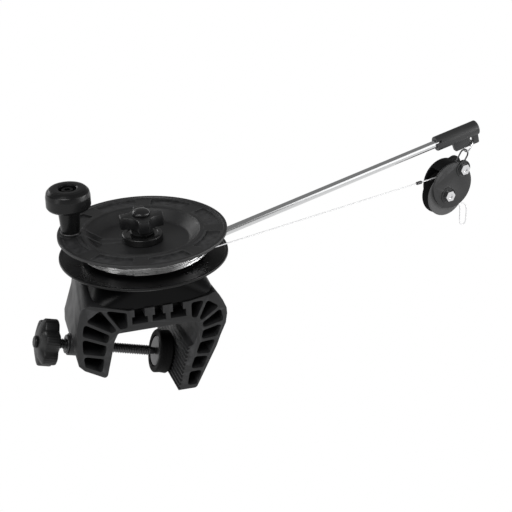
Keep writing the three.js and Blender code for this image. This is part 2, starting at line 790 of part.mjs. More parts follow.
function makeDragKnob() {
  const lobe = dragLobeWidth / 2;
  const reach = dragKnobDiameter / 2 - lobe;
  let star = disc(dragWaistDiameter, starBottom, starTop);
  for (let i = 0; i < dragKnobLobes; i += 1) {
    const arm = turned([
      [0, starBottom], [lobe - overrun / 2, starBottom], [lobe, starBottom + overrun / 2],
      [lobe, starTop - overrun], [lobe - overrun, starTop], [0, starTop],
    ], 14);
    const webSide = lobe - overrun / 2;
    const web = block(0, reach, -webSide, webSide, starBottom, starTop - overrun / 2);
    const placed = arm.translate([reach, 0, 0]).add(web);
    star = star.add(placed.rotate([0, 0, (360 * i) / dragKnobLobes + dragKnobTurn]));
  }
  const neck = turned([
    [0, neckBottom], [dragNeckDiameter / 2, neckBottom],
    [dragNeckDiameter / 2 - overrun, starBottom - overrun],
    [dragNeckDiameter / 2, starBottom + overrun / 2], [0, starBottom + overrun / 2],
  ]);
  const insertBore = disc(dragInsertDiameter + 2 * seatGap, neckBottom - overrun, starTop + overrun, 6);
  return star.add(neck).subtract(insertBore);
}

function makeDomeNut() {
  const radius = domeNutDiameter / 2;
  const bottom = starTop + seatGap;
  const profile = [[0, bottom], [radius, bottom]];
  for (let i = 0; i <= 4; i += 1) {
    const angle = (i / 4) * (Math.PI / 2);
    const rise = domeNutHeight / 4 + ((domeNutHeight * 3) / 4) * Math.sin(angle);
    profile.push([radius * Math.cos(angle), bottom + rise]);
  }
  return turned(profile);
}

// Crank knob on its shoulder bolt
const crankBottom = spoolTop + 2 * seatGap + crankWasherThickness;
const crankTop = crankBottom + crankHeight;

function makeCrankKnob() {
  const bore = crankBoltDiameter / 2 + runningGap;
  const capRadius = crankCapDiameter / 2;
  const capBottom = crankTop - crankCapHeight;
  const recess = crankRecessDiameter / 2;
  const edge = crankCapHeight / 4;
  const rounding = crankCapHeight * crankCapRoundingShare;
  const profile = [
    [bore, crankBottom], [crankStemFoot / 2, crankBottom],
    [crankStemFoot / 2 + overrun / 4, crankBottom + overrun],
    [crankStemTop / 2, capBottom - overrun], [crankStemTop / 2 + overrun, capBottom],
    [capRadius - edge / 2, capBottom], [capRadius, capBottom + edge / 2],
  ];
  for (let i = 0; i <= 5; i += 1) {
    const angle = (i / 5) * (Math.PI / 2);
    profile.push([capRadius - rounding * (1 - Math.cos(angle)), crankTop - rounding * (1 - Math.sin(angle))]);
  }
  profile.push(
    [recess + overrun / 2, crankTop - overrun / 4], [recess, crankTop - overrun / 4],
    [recess, crankTop - crankRecessDepth], [bore, crankTop - crankRecessDepth], [bore, crankBottom],
  );
  return turned(profile, 24);
}

function makeCrankBolt() {
  const seat = crankTop - crankRecessDepth + seatGap;
  const bottom = ringBottom - crankNutHeight - seatGap;
  const shaft = disc(crankBoltDiameter, bottom, seat + overrun / 2, 20);
  const head = disc(crankBoltHead, seat, seat + crankBoltHeadHeight);
  const top = seat + crankBoltHeadHeight;
  const socket = hexagon(crankBoltHead / 2, top - crankBoltHeadHeight / 2, top + overrun);
  return shaft.add(head).subtract(socket);
}

// Clamp screw parts, drawn along Z of the tilted group: zero is where the screw crosses the leg
const padFront = jawReach - padGap;
const padBack = padFront - padThickness;
const padFloor = padBack + padRecessDepth;
const plateBack = padFloor - seatGap - padPlateThickness;
const screwTip = plateBack - seatGap;
const knobEnd = nutStart - clampKnobStandoff;
const knobBodyEnd = knobEnd - clampKnobCollarLength;
const knobRim = knobBodyEnd - clampKnobLength;
const knobStart = knobRim - clampKnobFlare;

function makeClampKnob() {
  const radius = clampKnobDiameter / 2;
  const shape = new THREE.Shape();
  const steps = clampKnobLobes * 5;
  for (let i = 0; i < steps; i += 1) {
    const angle = (2 * Math.PI * i) / steps;
    const valley = Math.abs(Math.sin((clampKnobLobes * angle) / 2)) ** 3;
    const reach = radius - clampKnobFlute * valley;
    const point = [reach * Math.cos(angle), reach * Math.sin(angle)];
    if (i === 0) shape.moveTo(...point);
    else shape.lineTo(...point);
  }
  const envelope = turned([
    [0, knobStart], [knobCapDiameter / 2, knobStart],
    [(radius + knobCapDiameter / 2) / 2, knobStart + clampKnobFlare / 3],
    [radius - overrun, knobRim], [radius, knobRim + overrun],
    [radius, knobBodyEnd - overrun], [radius - overrun, knobBodyEnd], [0, knobBodyEnd],
  ], 30);
  const lobed = upright(shape, knobStart - overrun, knobBodyEnd + overrun, 1).intersect(envelope);
  const collarRim = clampKnobCollarDiameter / 2;
  const collar = turned([
    [0, knobBodyEnd - overrun], [collarRim, knobBodyEnd - overrun], [collarRim, knobEnd - overrun / 2],
    [collarRim - overrun, knobEnd], [0, knobEnd],
  ]);
  const bore = disc(screwDiameter + 2 * seatGap, knobEnd - knobSocketDepth, knobEnd + overrun);
  return lobed.add(collar).subtract(bore);
}

function makeKnobCap() {
  const bottom = knobStart - seatGap;
  const radius = knobCapDiameter / 2 - seatGap;
  const top = bottom - knobCapHeight;
  return turned([
    [0, top], [radius - overrun / 2, top], [radius, top + overrun / 2], [radius, bottom], [0, bottom],
  ]);
}

function makeClampScrew() {
  const start = knobEnd - knobSocketDepth + seatGap;
  const shaft = disc(screwDiameter, start, screwTip - screwTipLength);
  const tip = disc(screwTipDiameter, screwTip - screwTipLength - overrun / 2, screwTip);
  return shaft.add(tip);
}

function makeClampNut() {
  const bodyEnd = bossFace + nutLength - seatGap;
  const flange = disc(nutFlangeDiameter, nutStart, nutStart + nutFlangeThickness);
  const body = disc(nutDiameter, nutStart + nutFlangeThickness / 2, bodyEnd);
  const bore = disc(screwDiameter + 2 * seatGap, nutStart - overrun, bodyEnd + overrun);
  return flange.add(body).subtract(bore);
}

function makePressurePad() {
  const edge = overrun / 2;
  const radius = padDiameter / 2;
  const recess = padPlateDiameter / 2 + seatGap;
  return turned([
    [0, padFloor], [recess, padFloor], [recess, padBack], [radius - edge, padBack], [radius, padBack + edge],
    [radius, padFront - edge], [radius - edge, padFront], [0, padFront],
  ], 36);
}

function makePadPlate() {
  const rim = padPlateDiameter / 2;
  return turned([
    [0, plateBack], [rim - overrun, plateBack], [rim, plateBack + padPlateThickness / 2],
    [rim, plateBack + padPlateThickness], [0, plateBack + padPlateThickness],
  ]);
}

// Boom tip cap, drawn along the boom with its keel hanging below
const capStart = boomEnd - tipCapLength + overrun / 2;
const keelHoleAt = capStart + tipCapLength - keelHoleFromEnd;
const keelBottom = tipCapDiameter / 2 + keelDepth;
const ringBend = (keelRingWidth - ringWire) / 2;
const ringSag = ringBend - Math.sqrt(ringBend ** 2 - (keelThickness / 2 + seatGap) ** 2);
const hangDepth = keelBottom - keelBar - ringWire / 2 - 2 * seatGap - ringSag;

function makeBoomCap() {
  const sleeve = disc(tipCapDiameter, capStart, capStart + tipCapLength);
  const keelEnd = capStart + tipCapLength;
  const keel = across(outline([
    [0, keelEnd - keelLength], [keelBottom, keelEnd - keelLength + keelSlant],
    [keelBottom, keelEnd], [0, keelEnd],
  ]), -keelThickness / 2, keelThickness / 2);
  let cap = sleeve.add(keel);
  cap = cap.subtract(disc(boomDiameter + 2 * seatGap, capStart - overrun, keelEnd + overrun));
  const split = block(0, tipCapDiameter, -tipCapSplit / 2, tipCapSplit / 2, -overrun, tipCapSplitLength);
  cap = cap.subtract(split.rotate([0, 0, tipCapSplitTurn]).translate([0, 0, capStart]));
  const hole = disc(keelHoleDiameter, -keelThickness, keelThickness, 20).rotate([90, 0, 0]);
  const low = keelBottom - keelBar - keelHoleDiameter / 2;
  const high = low - keelHoleLength + keelHoleDiameter;
  const window = block(high, low, -keelThickness, keelThickness, -keelHoleDiameter / 2, keelHoleDiameter / 2);
  const slot = hole.translate([low, 0, 0]).add(hole.translate([high, 0, 0])).add(window);
  return cap.subtract(slot.translate([0, 0, keelHoleAt]));
}

// Hanging pulley: X runs along the line's own heading, Y across the pulley, Z up; zero is the ring's top
const boomDown = new THREE.Vector3().crossVectors(boomSide, boomDirection).normalize();
const hangPoint = boomOrigin.clone().addScaledVector(boomDirection, keelHoleAt);
hangPoint.addScaledVector(boomDown, hangDepth);
const pulleyGroup = new THREE.Group();
pulleyGroup.position.copy(hangPoint);
pulleyGroup.rotation.z = pulleyYaw * degree;
const topBolt = [-hangerLength * Math.sin(linkLean * degree), -hangerLength * Math.cos(linkLean * degree)];
const axle = [topBolt[0] - topBoltForward, topBolt[1] - topBoltRise];
const plateInner = plateInnerGap / 2;
const plateOuter = plateInner + plateThickness;

// A body drawn round Z becomes one that runs across the pulley, at a place in its plane; its top faces -Y
function acrossPulley(body, [x, z]) {
  return body.rotate([90, 0, 0]).translate([x, 0, z]);
}

function plateShape() {
  const centre = [axle[0] + plateShift, axle[1] + plateRise];
  const round = disc(plateDiameter, plateInner, plateOuter, 30);
  const ear = disc(2 * earRadius, plateInner, plateOuter);
  return acrossPulley(round, centre).add(acrossPulley(ear, topBolt));
}

function drillBolts(plate) {
  const hole = disc(pulleyBoltDiameter + 2 * seatGap, -2 * plateOuter, 2 * plateOuter, 20);
  return plate.subtract(acrossPulley(hole, axle)).subtract(acrossPulley(hole, topBolt));
}

function makeFrontPlate() {
  const bossInner = plateBossDiameter - 2 * plateBossWall;
  const boss = washer(plateBossDiameter, bossInner, plateOuter - seatGap, plateOuter + plateBossHeight);
  return drillBolts(plateShape().add(acrossPulley(boss, axle)).add(acrossPulley(boss, topBolt)));
}

function makeBackPlate() {
  const centre = [axle[0] + plateShift, axle[1] + plateRise];
  const guard = new THREE.Shape();
  const [from, to] = [guardStart * degree, (guardStart + guardSweep) * degree];
  guard.absarc(0, 0, plateDiameter / 2, from, to, false);
  guard.absarc(0, 0, plateDiameter / 2 - guardWall, to, from, true);
  const wall = upright(guard, -plateInner + seatGap, plateInner + seatGap, 10);
  const backPlate = plateShape().mirror([0, 1, 0]);
  return drillBolts(backPlate.add(acrossPulley(wall, centre).mirror([0, 1, 0])));
}

function makePulleyBolt() {
  const seat = plateOuter + seatGap;
  const shaft = disc(pulleyBoltDiameter, -plateOuter - pulleyNutHeight - 2 * seatGap, seat + overrun / 2, 20);
  const head = hexagon(boltHeadSize, seat, seat + boltHeadHeight);
  const top = seat + boltHeadHeight;
  const dimple = disc(boltDimpleDiameter, top - boltDimpleDepth, top + overrun);
  return shaft.add(head).subtract(dimple);
}

function makePulleyNut() {
  const near = -plateOuter - seatGap;
  const hole = disc(pulleyBoltDiameter + 2 * seatGap, near - 2 * pulleyNutHeight, near + overrun, 20);
  return hexagon(boltHeadSize, near - pulleyNutHeight, near).subtract(hole);
}

const bushOuter = pulleyBoltDiameter / 2 + seatGap + sheaveBushWall;

function makeSheave() {
  const [half, hubHalf] = [sheaveThickness / 2, sheaveHubThickness / 2];
  const [rim, groove] = [sheaveDiameter / 2, sheaveGrooveDiameter / 2];
  const bore = bushOuter + runningGap;
  const hub = sheaveHubDiameter / 2;
  const throat = lineDiameter / 2 + runningGap;
  return turned([
    [bore, -hubHalf], [hub, -hubHalf], [hub, -half], [rim - overrun / 2, -half], [rim, -half + overrun / 4],
    [rim, -half + overrun / 2], [groove, -throat], [groove, throat], [rim, half - overrun / 2],
    [rim, half - overrun / 4], [rim - overrun / 2, half], [hub, half], [hub, hubHalf], [bore, hubHalf],
    [bore, -hubHalf],
  ], 32);
}

// The line: taut to the sheave's groove, then a hanging end loop closed by a sleeve
const lineRadius = sheaveGrooveDiameter / 2 + lineDiameter / 2 + seatGap / 2;
const coilExit = woundDiameter / 2 + seatGap + lineDiameter / 2;
const upwards = new THREE.Vector3(0, 0, 1);

function pulleyToWorld(point) {
  return point.clone().applyAxisAngle(upwards, pulleyYaw * degree).add(hangPoint);
}

function worldToPulley(point) {
  return point.clone().sub(hangPoint).applyAxisAngle(upwards, -pulleyYaw * degree);
}

const axleWorld = pulleyToWorld(new THREE.Vector3(axle[0], 0, axle[1]));
const axleReach = Math.hypot(axleWorld.x, axleWorld.y);
const lineHeading = Math.atan2(axleWorld.y, axleWorld.x) + Math.asin(coilExit / axleReach);
const lineStart = new THREE.Vector3(Math.sin(lineHeading), -Math.cos(lineHeading), 0)
  .multiplyScalar(coilExit).setZ(lineStartHeight);
const lineRun = Math.sqrt(axleReach ** 2 - coilExit ** 2);
const lineFall = Math.atan2(lineStartHeight - axleWorld.z - lineRadius, lineRun);
const lineTouch = new THREE.Vector3(Math.sin(lineFall), 0, Math.cos(lineFall)).multiplyScalar(lineRadius)
  .add(new THREE.Vector3(axle[0], 0, axle[1]));
const backwards = worldToPulley(lineStart).sub(lineTouch).normalize();

function onLine(back) {
  return lineTouch.clone().addScaledVector(backwards, back);
}

function makeLineSpan() {
  const end = pulleyToWorld(onLine(stopFromTouch + stopLength + seatGap));
  return wire(new THREE.LineCurve3(lineStart, end), lineDiameter);
}

function makeLineStop() {
  const sleeve = disc(stopDiameter, stopFromTouch, stopFromTouch + stopLength);
  const sideways = lineHeading / degree - pulleyYaw;
  return sleeve.rotate([0, -90 + lineFall / degree, sideways]).translate(lineTouch.toArray());
}

const strandX = axle[0] + lineRadius;
const crimpTop = axle[1] - loopDrop + loopHeight + loopCrimpLength;
const loopBottom = axle[1] - loopDrop;
const strandGap = lineDiameter + seatGap;

function makeLineLoop() {
  const path = new THREE.CurvePath();
  const start = onLine(stopFromTouch - seatGap);
  path.add(new THREE.LineCurve3(start, lineTouch));
  const arcPoints = [];
  const from = Math.PI / 2 - lineFall;
  for (let i = 0; i <= 8; i += 1) {
    const angle = from * (1 - i / 8);
    const [x, z] = [axle[0] + lineRadius * Math.cos(angle), axle[1] + lineRadius * Math.sin(angle)];
    arcPoints.push(new THREE.Vector3(x, 0, z));
  }
  path.add(new THREE.CatmullRomCurve3(arcPoints));
  const crimpBottom = crimpTop - loopCrimpLength;
  const half = loopWidth / 2;
  const middle = strandX + loopOffset;
  const loopPoints = [
    [strandX, axle[1]], [strandX, crimpTop], [strandX, crimpBottom - overrun / 2],
    [middle - half, crimpBottom - 2 * half],
    [middle - half, loopBottom + half], [middle - half * 0.7, loopBottom + half * 0.3], [middle, loopBottom],
    [middle + half * 0.7, loopBottom + half * 0.3], [middle + half, loopBottom + half],
    [middle + half, crimpBottom - 2 * half], [strandX + strandGap, crimpBottom - overrun / 2],
    [strandX + strandGap, crimpTop - seatGap],
  ].map(([x, z]) => new THREE.Vector3(x, 0, z));
  path.add(new THREE.CatmullRomCurve3(loopPoints, false, 'centripetal'));
  return wire(path, lineDiameter, 44, 6);
}

function makeLoopCrimp() {
  const inner = lineDiameter / 2 + seatGap;
  const outer = inner + loopCrimpWall;
  const middle = strandX + strandGap / 2;
  const stadium = (radius, path) => {
    path.absarc(strandGap / 2, 0, radius, -Math.PI / 2, Math.PI / 2, false);
    path.absarc(-strandGap / 2, 0, radius, Math.PI / 2, (3 * Math.PI) / 2, false);
    return path;
  };
  const shape = stadium(outer, new THREE.Shape());
  shape.holes.push(stadium(inner, new THREE.Path()));
  return upright(shape, crimpTop - loopCrimpLength, crimpTop, 5).translate([middle, 0, 0]);
}

function leaned(body) {
  return body.rotate([0, 90 + linkLean, 0]);
}

// Assembly
add(downrigger, 'clamp_frame', 'plastic', makeClampFrame());
add(downrigger, 'reel_base', 'plastic', makeReelBase());
for (const [name, side] of [['front', -1], ['rear', 1]]) {
  const seat = footScrewHeadHeight + seatGap;
  const shaft = disc(footScrewDiameter, seat - overrun / 2, baseTop - 4 * footScrewDiameter, 20);
  const screw = disc(footScrewHead, seatGap, seat, 24).add(shaft);
  add(downrigger, `foot_screw_${name}`, 'zinc', screw.translate([0, (side * footScrewSpacing) / 2, 0]));
}

const spindleShaft = disc(spindleDiameter, spindleBottom + overrun, spindleTop);
const spindleHead = hexagon(spindleHeadSize, spindleBottom, spindleBottom + spindleHeadHeight);
add(downrigger, 'spindle', 'steel', spindleShaft.add(spindleHead));
const brakeBottom = baseTop + seatGap;
add(downrigger, 'brake_disc', 'friction',
  washer(brakeDiscDiameter, spindleDiameter + 4 * seatGap, brakeBottom, flangeUnder - hubFoot - seatGap));

add(downrigger, 'lower_flange', 'plastic', makeLowerFlange());
add(downrigger, 'upper_flange', 'plastic', makeUpperFlange());
const bushingBottom = flangeUnder - hubFoot + seatGap;
add(downrigger, 'spool_bushing', 'bronze',
  washer(2 * bushingOuter, spindleDiameter + 2 * seatGap, bushingBottom, dishFloor - seatGap));
add(downrigger, 'wound_core', 'line', makeWoundCore());
add(downrigger, 'wound_line', 'line', makeWoundLine());

add(downrigger, 'thrust_washer', 'steel', washer(
  thrustWasherDiameter, spindleDiameter + 4 * seatGap, washerBottom, washerBottom + thrustWasherThickness));
const collarRadius = dragCollarDiameter / 2;
const collarStep = washerBottom + thrustWasherThickness + seatGap;
const collarBore = spindleDiameter / 2 + 2 * seatGap;
add(downrigger, 'drag_collar', 'glossyPlastic', turned([
  [collarBore, collarStep], [thrustWasherDiameter / 2 + seatGap, collarStep],
  [thrustWasherDiameter / 2 + seatGap, washerBottom], [collarRadius, washerBottom],
  [collarRadius, collarTop - overrun], [collarRadius - overrun / 2, collarTop - overrun / 4],
  [collarRadius - overrun, collarTop], [collarBore, collarTop], [collarBore, collarStep],
]));
add(downrigger, 'drag_knob', 'plastic', makeDragKnob());
add(downrigger, 'drag_insert', 'zinc', disc(dragInsertDiameter, neckBottom + seatGap, starTop - seatGap, 6)
  .subtract(disc(spindleDiameter + 2 * seatGap, neckBottom - overrun, spindleTop + seatGap, 24)));
add(downrigger, 'drag_dome_nut', 'glossyPlastic', makeDomeNut());

const crankGroup = new THREE.Group();
crankGroup.position.set(...crankCentre, 0);
downrigger.add(crankGroup);
add(crankGroup, 'crank_washer', 'steel', washer(
  crankWasherDiameter, crankBoltDiameter + 2 * runningGap, spoolTop + seatGap,
  spoolTop + seatGap + crankWasherThickness));
add(crankGroup, 'crank_knob', 'glossyPlastic', makeCrankKnob());
add(crankGroup, 'crank_bolt', 'steel', makeCrankBolt());
const crankNutTop = ringBottom - seatGap;
add(crankGroup, 'crank_nut', 'zinc', hexagon(crankNutSize, crankNutTop - crankNutHeight, crankNutTop)
  .subtract(disc(crankBoltDiameter + 2 * seatGap, 0, spoolTop, 20)));

downrigger.add(screwGroup);
add(screwGroup, 'clamp_nut', 'bronze', makeClampNut());
add(screwGroup, 'clamp_screw', 'darkSteel', makeClampScrew());
add(screwGroup, 'clamp_knob', 'plastic', makeClampKnob());
add(screwGroup, 'clamp_knob_cap', 'glossyPlastic', makeKnobCap());
add(screwGroup, 'pad_plate', 'steel', makePadPlate());
add(screwGroup, 'pressure_pad', 'rubber', makePressurePad());

downrigger.add(boomGroup);
const boomBoltHole = disc(boomBoltDiameter + 2 * seatGap, -boomDiameter, boomDiameter, 16).rotate([90, 0, 0]);
add(boomGroup, 'boom', 'steel',
  disc(boomDiameter, boomStart, boomEnd, 32).subtract(boomBoltHole.translate([0, 0, boomBoltAt])));
const boltSeat = boomBossDiameter / 2 - boomBoltHeadHeight + seatGap;
const boomBoltBody = disc(boomBoltDiameter, -boltSeat - boomBoltHeadHeight, boltSeat + overrun / 2, 16)
  .add(hexagon(boomBoltHead, boltSeat, boltSeat + boomBoltHeadHeight));
add(boomGroup, 'boom_bolt', 'zinc', boomBoltBody.rotate([90, 0, 0]).translate([0, 0, boomBoltAt]));
const boomNutBody = hexagon(boomBoltHead, -boltSeat - boomBoltHeadHeight, -boltSeat)
  .subtract(disc(boomBoltDiameter + 2 * seatGap, -boomBossDiameter, boomBossDiameter));
add(boomGroup, 'boom_nut', 'zinc', boomNutBody.rotate([90, 0, 0]).translate([0, 0, boomBoltAt]));
add(boomGroup, 'boom_tip_cap', 'plastic', makeBoomCap());

downrigger.add(pulleyGroup);
const ringReach = keelRingLength - ringWire;
const keelRing = oblongRing(keelRingLength, keelRingWidth, ringWire).rotate([90, 0, 0]);
const ringTopToHang = keelRingLength / 2 - ringWire / 2;
add(pulleyGroup, 'keel_ring', 'steel', leaned(keelRing.rotate([90, 0, 0]).translate([ringTopToHang, 0, 0])));
const spacerRadius = spacerDiameter / 2;
const linkTop = ringReach - ringWire / 2 - seatGap - linkWire;
const linkEnd = hangerLength + spacerRadius + seatGap + linkWire;
const linkWidth = spacerDiameter + 2 * seatGap + 2 * linkWire;
const link = oblongRing(linkEnd - linkTop, linkWidth, linkWire).rotate([90, 0, 0]);
add(pulleyGroup, 'hanger_link', 'darkSteel', leaned(link.translate([(linkTop + linkEnd) / 2, 0, 0])));
add(pulleyGroup, 'pulley_front_plate', 'plastic', makeFrontPlate());
add(pulleyGroup, 'pulley_back_plate', 'plastic', makeBackPlate());
const pulleyBore = pulleyBoltDiameter + 2 * seatGap;
const spacer = washer(spacerDiameter, pulleyBore, -plateInner + seatGap, plateInner - seatGap);
add(pulleyGroup, 'top_spacer', 'steel', acrossPulley(spacer, topBolt));
for (const [name, place] of [['axle', axle], ['top', topBolt]]) {
  add(pulleyGroup, `${name}_bolt`, 'steel', acrossPulley(makePulleyBolt(), place));
  add(pulleyGroup, `${name}_nut`, 'zinc', acrossPulley(makePulleyNut(), place));
}
const bush = washer(2 * bushOuter, pulleyBore, -plateInner + seatGap, plateInner - seatGap);
add(pulleyGroup, 'sheave_bush', 'bronze', acrossPulley(bush, axle));
add(pulleyGroup, 'sheave', 'plastic', acrossPulley(makeSheave(), axle));
add(pulleyGroup, 'line_stop', 'darkSteel', makeLineStop());
add(pulleyGroup, 'line_loop', 'line', makeLineLoop());
add(pulleyGroup, 'loop_crimp', 'darkSteel', makeLoopCrimp());
add(downrigger, 'line_span', 'line', makeLineSpan());

export default downrigger;
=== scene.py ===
import math
import random

import bmesh
import bpy
from mathutils import Matrix, Vector


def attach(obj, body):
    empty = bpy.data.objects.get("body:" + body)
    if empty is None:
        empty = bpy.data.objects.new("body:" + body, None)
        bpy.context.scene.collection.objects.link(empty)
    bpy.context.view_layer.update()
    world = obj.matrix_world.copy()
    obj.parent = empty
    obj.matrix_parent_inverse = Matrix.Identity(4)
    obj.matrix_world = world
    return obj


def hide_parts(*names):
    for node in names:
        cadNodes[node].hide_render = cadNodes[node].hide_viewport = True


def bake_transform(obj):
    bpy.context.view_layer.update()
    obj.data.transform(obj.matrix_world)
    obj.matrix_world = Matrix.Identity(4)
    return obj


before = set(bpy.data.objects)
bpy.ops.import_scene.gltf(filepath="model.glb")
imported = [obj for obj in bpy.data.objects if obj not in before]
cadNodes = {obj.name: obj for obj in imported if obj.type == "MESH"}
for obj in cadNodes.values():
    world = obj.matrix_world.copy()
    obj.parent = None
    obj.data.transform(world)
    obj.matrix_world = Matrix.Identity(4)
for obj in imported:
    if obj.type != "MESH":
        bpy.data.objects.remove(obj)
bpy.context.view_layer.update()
scene = bpy.context.scene
print("frame loaded")

# Sizes are in millimetres unless a comment says metres; meshes are made in metres
milli = 0.001
# How far a cutting tool runs past the face that it cuts
overrun = 2.0


class Sizes(dict):
    __getattr__ = dict.__getitem__


# Where the tilted or turned assemblies stand, the same places as in the CAD source
stations = Sizes(
    screwHome=(-65.992, 0.0, -31.304), screwTilt=15.0,
    boomOrigin=(-4.237, 24.0293, 27.25), boomYaw=10.0, boomRise=9.7, boomBoltAt=72.0,
    hangPoint=(366.6333, 89.4238, 79.4335), pulleyYaw=17.0, linkLean=35.8,
    axle=(-36.1808, -47.8830), topBolt=(-17.0808, -23.6830),
    crankCentre=(-64.6506, 17.2022, 0.0), crankAngle=165.1,
)


def turnAbout(axis, degrees):
    return Matrix.Rotation(math.radians(degrees), 4, axis)


def shift(*offset):
    return Matrix.Translation(offset)


screwPlace = shift(*stations.screwHome) @ turnAbout("Y", 90 + stations.screwTilt)
boomTurn = turnAbout("Z", stations.boomYaw) @ turnAbout("Y", 90 - stations.boomRise)
boomPlace = shift(*stations.boomOrigin) @ boomTurn
boomBoltPlace = boomPlace @ shift(0, 0, stations.boomBoltAt) @ turnAbout("X", 90)
pulleyPlace = shift(*stations.hangPoint) @ turnAbout("Z", stations.pulleyYaw)
leanPlace = pulleyPlace @ turnAbout("Y", 90 + stations.linkLean)
crankPlace = shift(*stations.crankCentre)


def acrossPulley(place):
    # a thing drawn up Z then points out of the pulley's front, at a spot in the pulley's plane
    return pulleyPlace @ shift(place[0], 0, place[1]) @ turnAbout("X", 90)


# Camera
cameraSettings = Sizes(
    focalPixels=2200.0, framePixels=512.0, sensor=36.0, azimuth=15.74, elevation=25.02, roll=2.33,
    distance=2064.45, target=(0.0, 0.0, 78.6), targetPixel=(142.01, 229.51),
)


def makeCamera(size):
    phi, tilt, roll = (math.radians(size[key]) for key in ("azimuth", "elevation", "roll"))
    flat = Vector((math.sin(phi), math.cos(phi), 0))
    right = Vector((math.cos(phi), -math.sin(phi), 0))
    ahead = flat * math.cos(tilt) - Vector((0, 0, math.sin(tilt)))
    up = flat * math.sin(tilt) + Vector((0, 0, math.cos(tilt)))
    rolledRight = right * math.cos(roll) - up * math.sin(roll)
    rolledUp = up * math.cos(roll) + right * math.sin(roll)
    offX, offY = ((pixel - size.framePixels / 2) / size.focalPixels for pixel in size.targetPixel)
    reach = (rolledRight * offX - rolledUp * offY + ahead) * size.distance
    data = bpy.data.cameras.new("photoCamera")
    data.sensor_width = size.sensor
    data.lens = size.focalPixels / size.framePixels * size.sensor
    camera = bpy.data.objects.new("photoCamera", data)
    scene.collection.objects.link(camera)
    axes = Matrix((rolledRight, rolledUp, -ahead)).transposed()
    camera.matrix_world = shift(*((Vector(size.target) - reach) * milli)) @ axes.to_4x4()
    scene.camera = camera


makeCamera(cameraSettings)
print("camera set")


# Node trees
def feed(tree, node, values):
    # sets or links a node's inputs; a node among the values stands for its first output
    for label, value in values.items():
        if isinstance(value, bpy.types.Node):
            value = value.outputs[0]
        if isinstance(value, bpy.types.NodeSocket):
            tree.links.new(value, node.inputs[label])
        else:
            node.inputs[label].default_value = value
    return node


def addNode(tree, kind, values=None, **options):
    node = tree.nodes.new(kind)
    for name, value in options.items():
        setattr(node, name, value)
    return feed(tree, node, values or {})


def newTree(kind, name, inputs, outputs):
    tree = bpy.data.node_groups.new(name, kind)
    for label, (socketKind, value) in inputs.items():
        socket = tree.interface.new_socket(name=label, in_out="INPUT", socket_type="NodeSocket" + socketKind)
        if value is not None:
            socket.default_value = value
    for label, socketKind in outputs.items():
        tree.interface.new_socket(name=label, in_out="OUTPUT", socket_type="NodeSocket" + socketKind)
    return tree, tree.nodes.new("NodeGroupInput").outputs, tree.nodes.new("NodeGroupOutput")


def maths(tree, operation, first, second):
    return addNode(tree, "ShaderNodeMath", {0: first, 1: second}, operation=operation)


def noise(tree, vector, scale, detail, roughness=0.5):
    values = {"Vector": vector, "Scale": scale, "Detail": detail, "Roughness": roughness}
    return addNode(tree, "ShaderNodeTexNoise", values)


def mapped(tree, value, low, high, start=0.0, end=1.0):
    values = {"Value": value, "From Min": low, "From Max": high, "To Min": start, "To Max": end}
    return addNode(tree, "ShaderNodeMapRange", values)


def colourMix(tree, factor, first, second):
    return addNode(tree, "ShaderNodeMix", {0: factor, 6: first, 7: second}, data_type="RGBA").outputs[2]


def mouldGrainGroup():
    # fine texture of a moulded surface: a height for the bump and a mask for soft blotches
    tree, given, sink = newTree("ShaderNodeTree", "mouldGrain", {
        "Vector": ("Vector", (0, 0, 0)), "Grain Scale": ("Float", 2400.0), "Blotch Scale": ("Float", 60.0),
    }, {"Height": "Float", "Blotch": "Float"})
    feed(tree, sink, {
        "Height": noise(tree, given["Vector"], given["Grain Scale"], 3.0, 0.6),
        "Blotch": noise(tree, given["Vector"], given["Blotch Scale"], 4.0, 0.55)})
    return tree


def paintedEdgeHighlightGroup():
    # painted highlight on convex edges, broken up by noise
    tree, given, sink = newTree("ShaderNodeTree", "paintedEdgeHighlight", {
        "Vector": ("Vector", (0, 0, 0)), "Amount": ("Float", 0.5)}, {"Mask": "Float"})
    convex = mapped(tree, addNode(tree, "ShaderNodeNewGeometry").outputs["Pointiness"], 0.52, 0.62)
    patches = mapped(tree, noise(tree, given["Vector"], 180.0, 5.0, 0.65), 0.35, 0.7)
    broken = maths(tree, "MULTIPLY", convex, patches)
    feed(tree, sink, {"Mask": maths(tree, "MULTIPLY", broken, given["Amount"])})
    return tree


def drawnLinesAndGlintsGroup():
    # fine lines along one direction, as on drawn or turned metal; on the wound wire the same streaks are
    # painted glints and painted shade between the turns
    tree, given, sink = newTree("ShaderNodeTree", "drawnLinesAndGlints", {
        "Vector": ("Vector", (0, 0, 0)), "Line Scale": ("Float", 900.0), "Stretch": ("Float", 0.02),
    }, {"Height": "Float", "Streak": "Float"})
    stretch = addNode(tree, "ShaderNodeCombineXYZ", {"X": 1.0, "Y": 1.0, "Z": given["Stretch"]})
    pulled = addNode(tree, "ShaderNodeVectorMath", {0: given["Vector"], 1: stretch}, operation="MULTIPLY")
    slowScale = maths(tree, "MULTIPLY", given["Line Scale"], 0.2)
    feed(tree, sink, {
        "Height": noise(tree, pulled, given["Line Scale"], 2.0), "Streak": noise(tree, pulled, slowScale, 3.0)})
    return tree


mouldGrain = mouldGrainGroup()
paintedEdgeHighlight = paintedEdgeHighlightGroup()
drawnLinesAndGlints = drawnLinesAndGlintsGroup()
print("shader groups built")


# Materials, found by their names from here on
def newMaterial(name, metallic, specular):
    material = bpy.data.materials.new(name)
    material.use_nodes = True
    tree = material.node_tree
    shader = feed(tree, tree.nodes["Principled BSDF"], {"Metallic": metallic, "Specular IOR Level": specular})
    return tree, shader, addNode(tree, "ShaderNodeTexCoord").outputs["Object"]


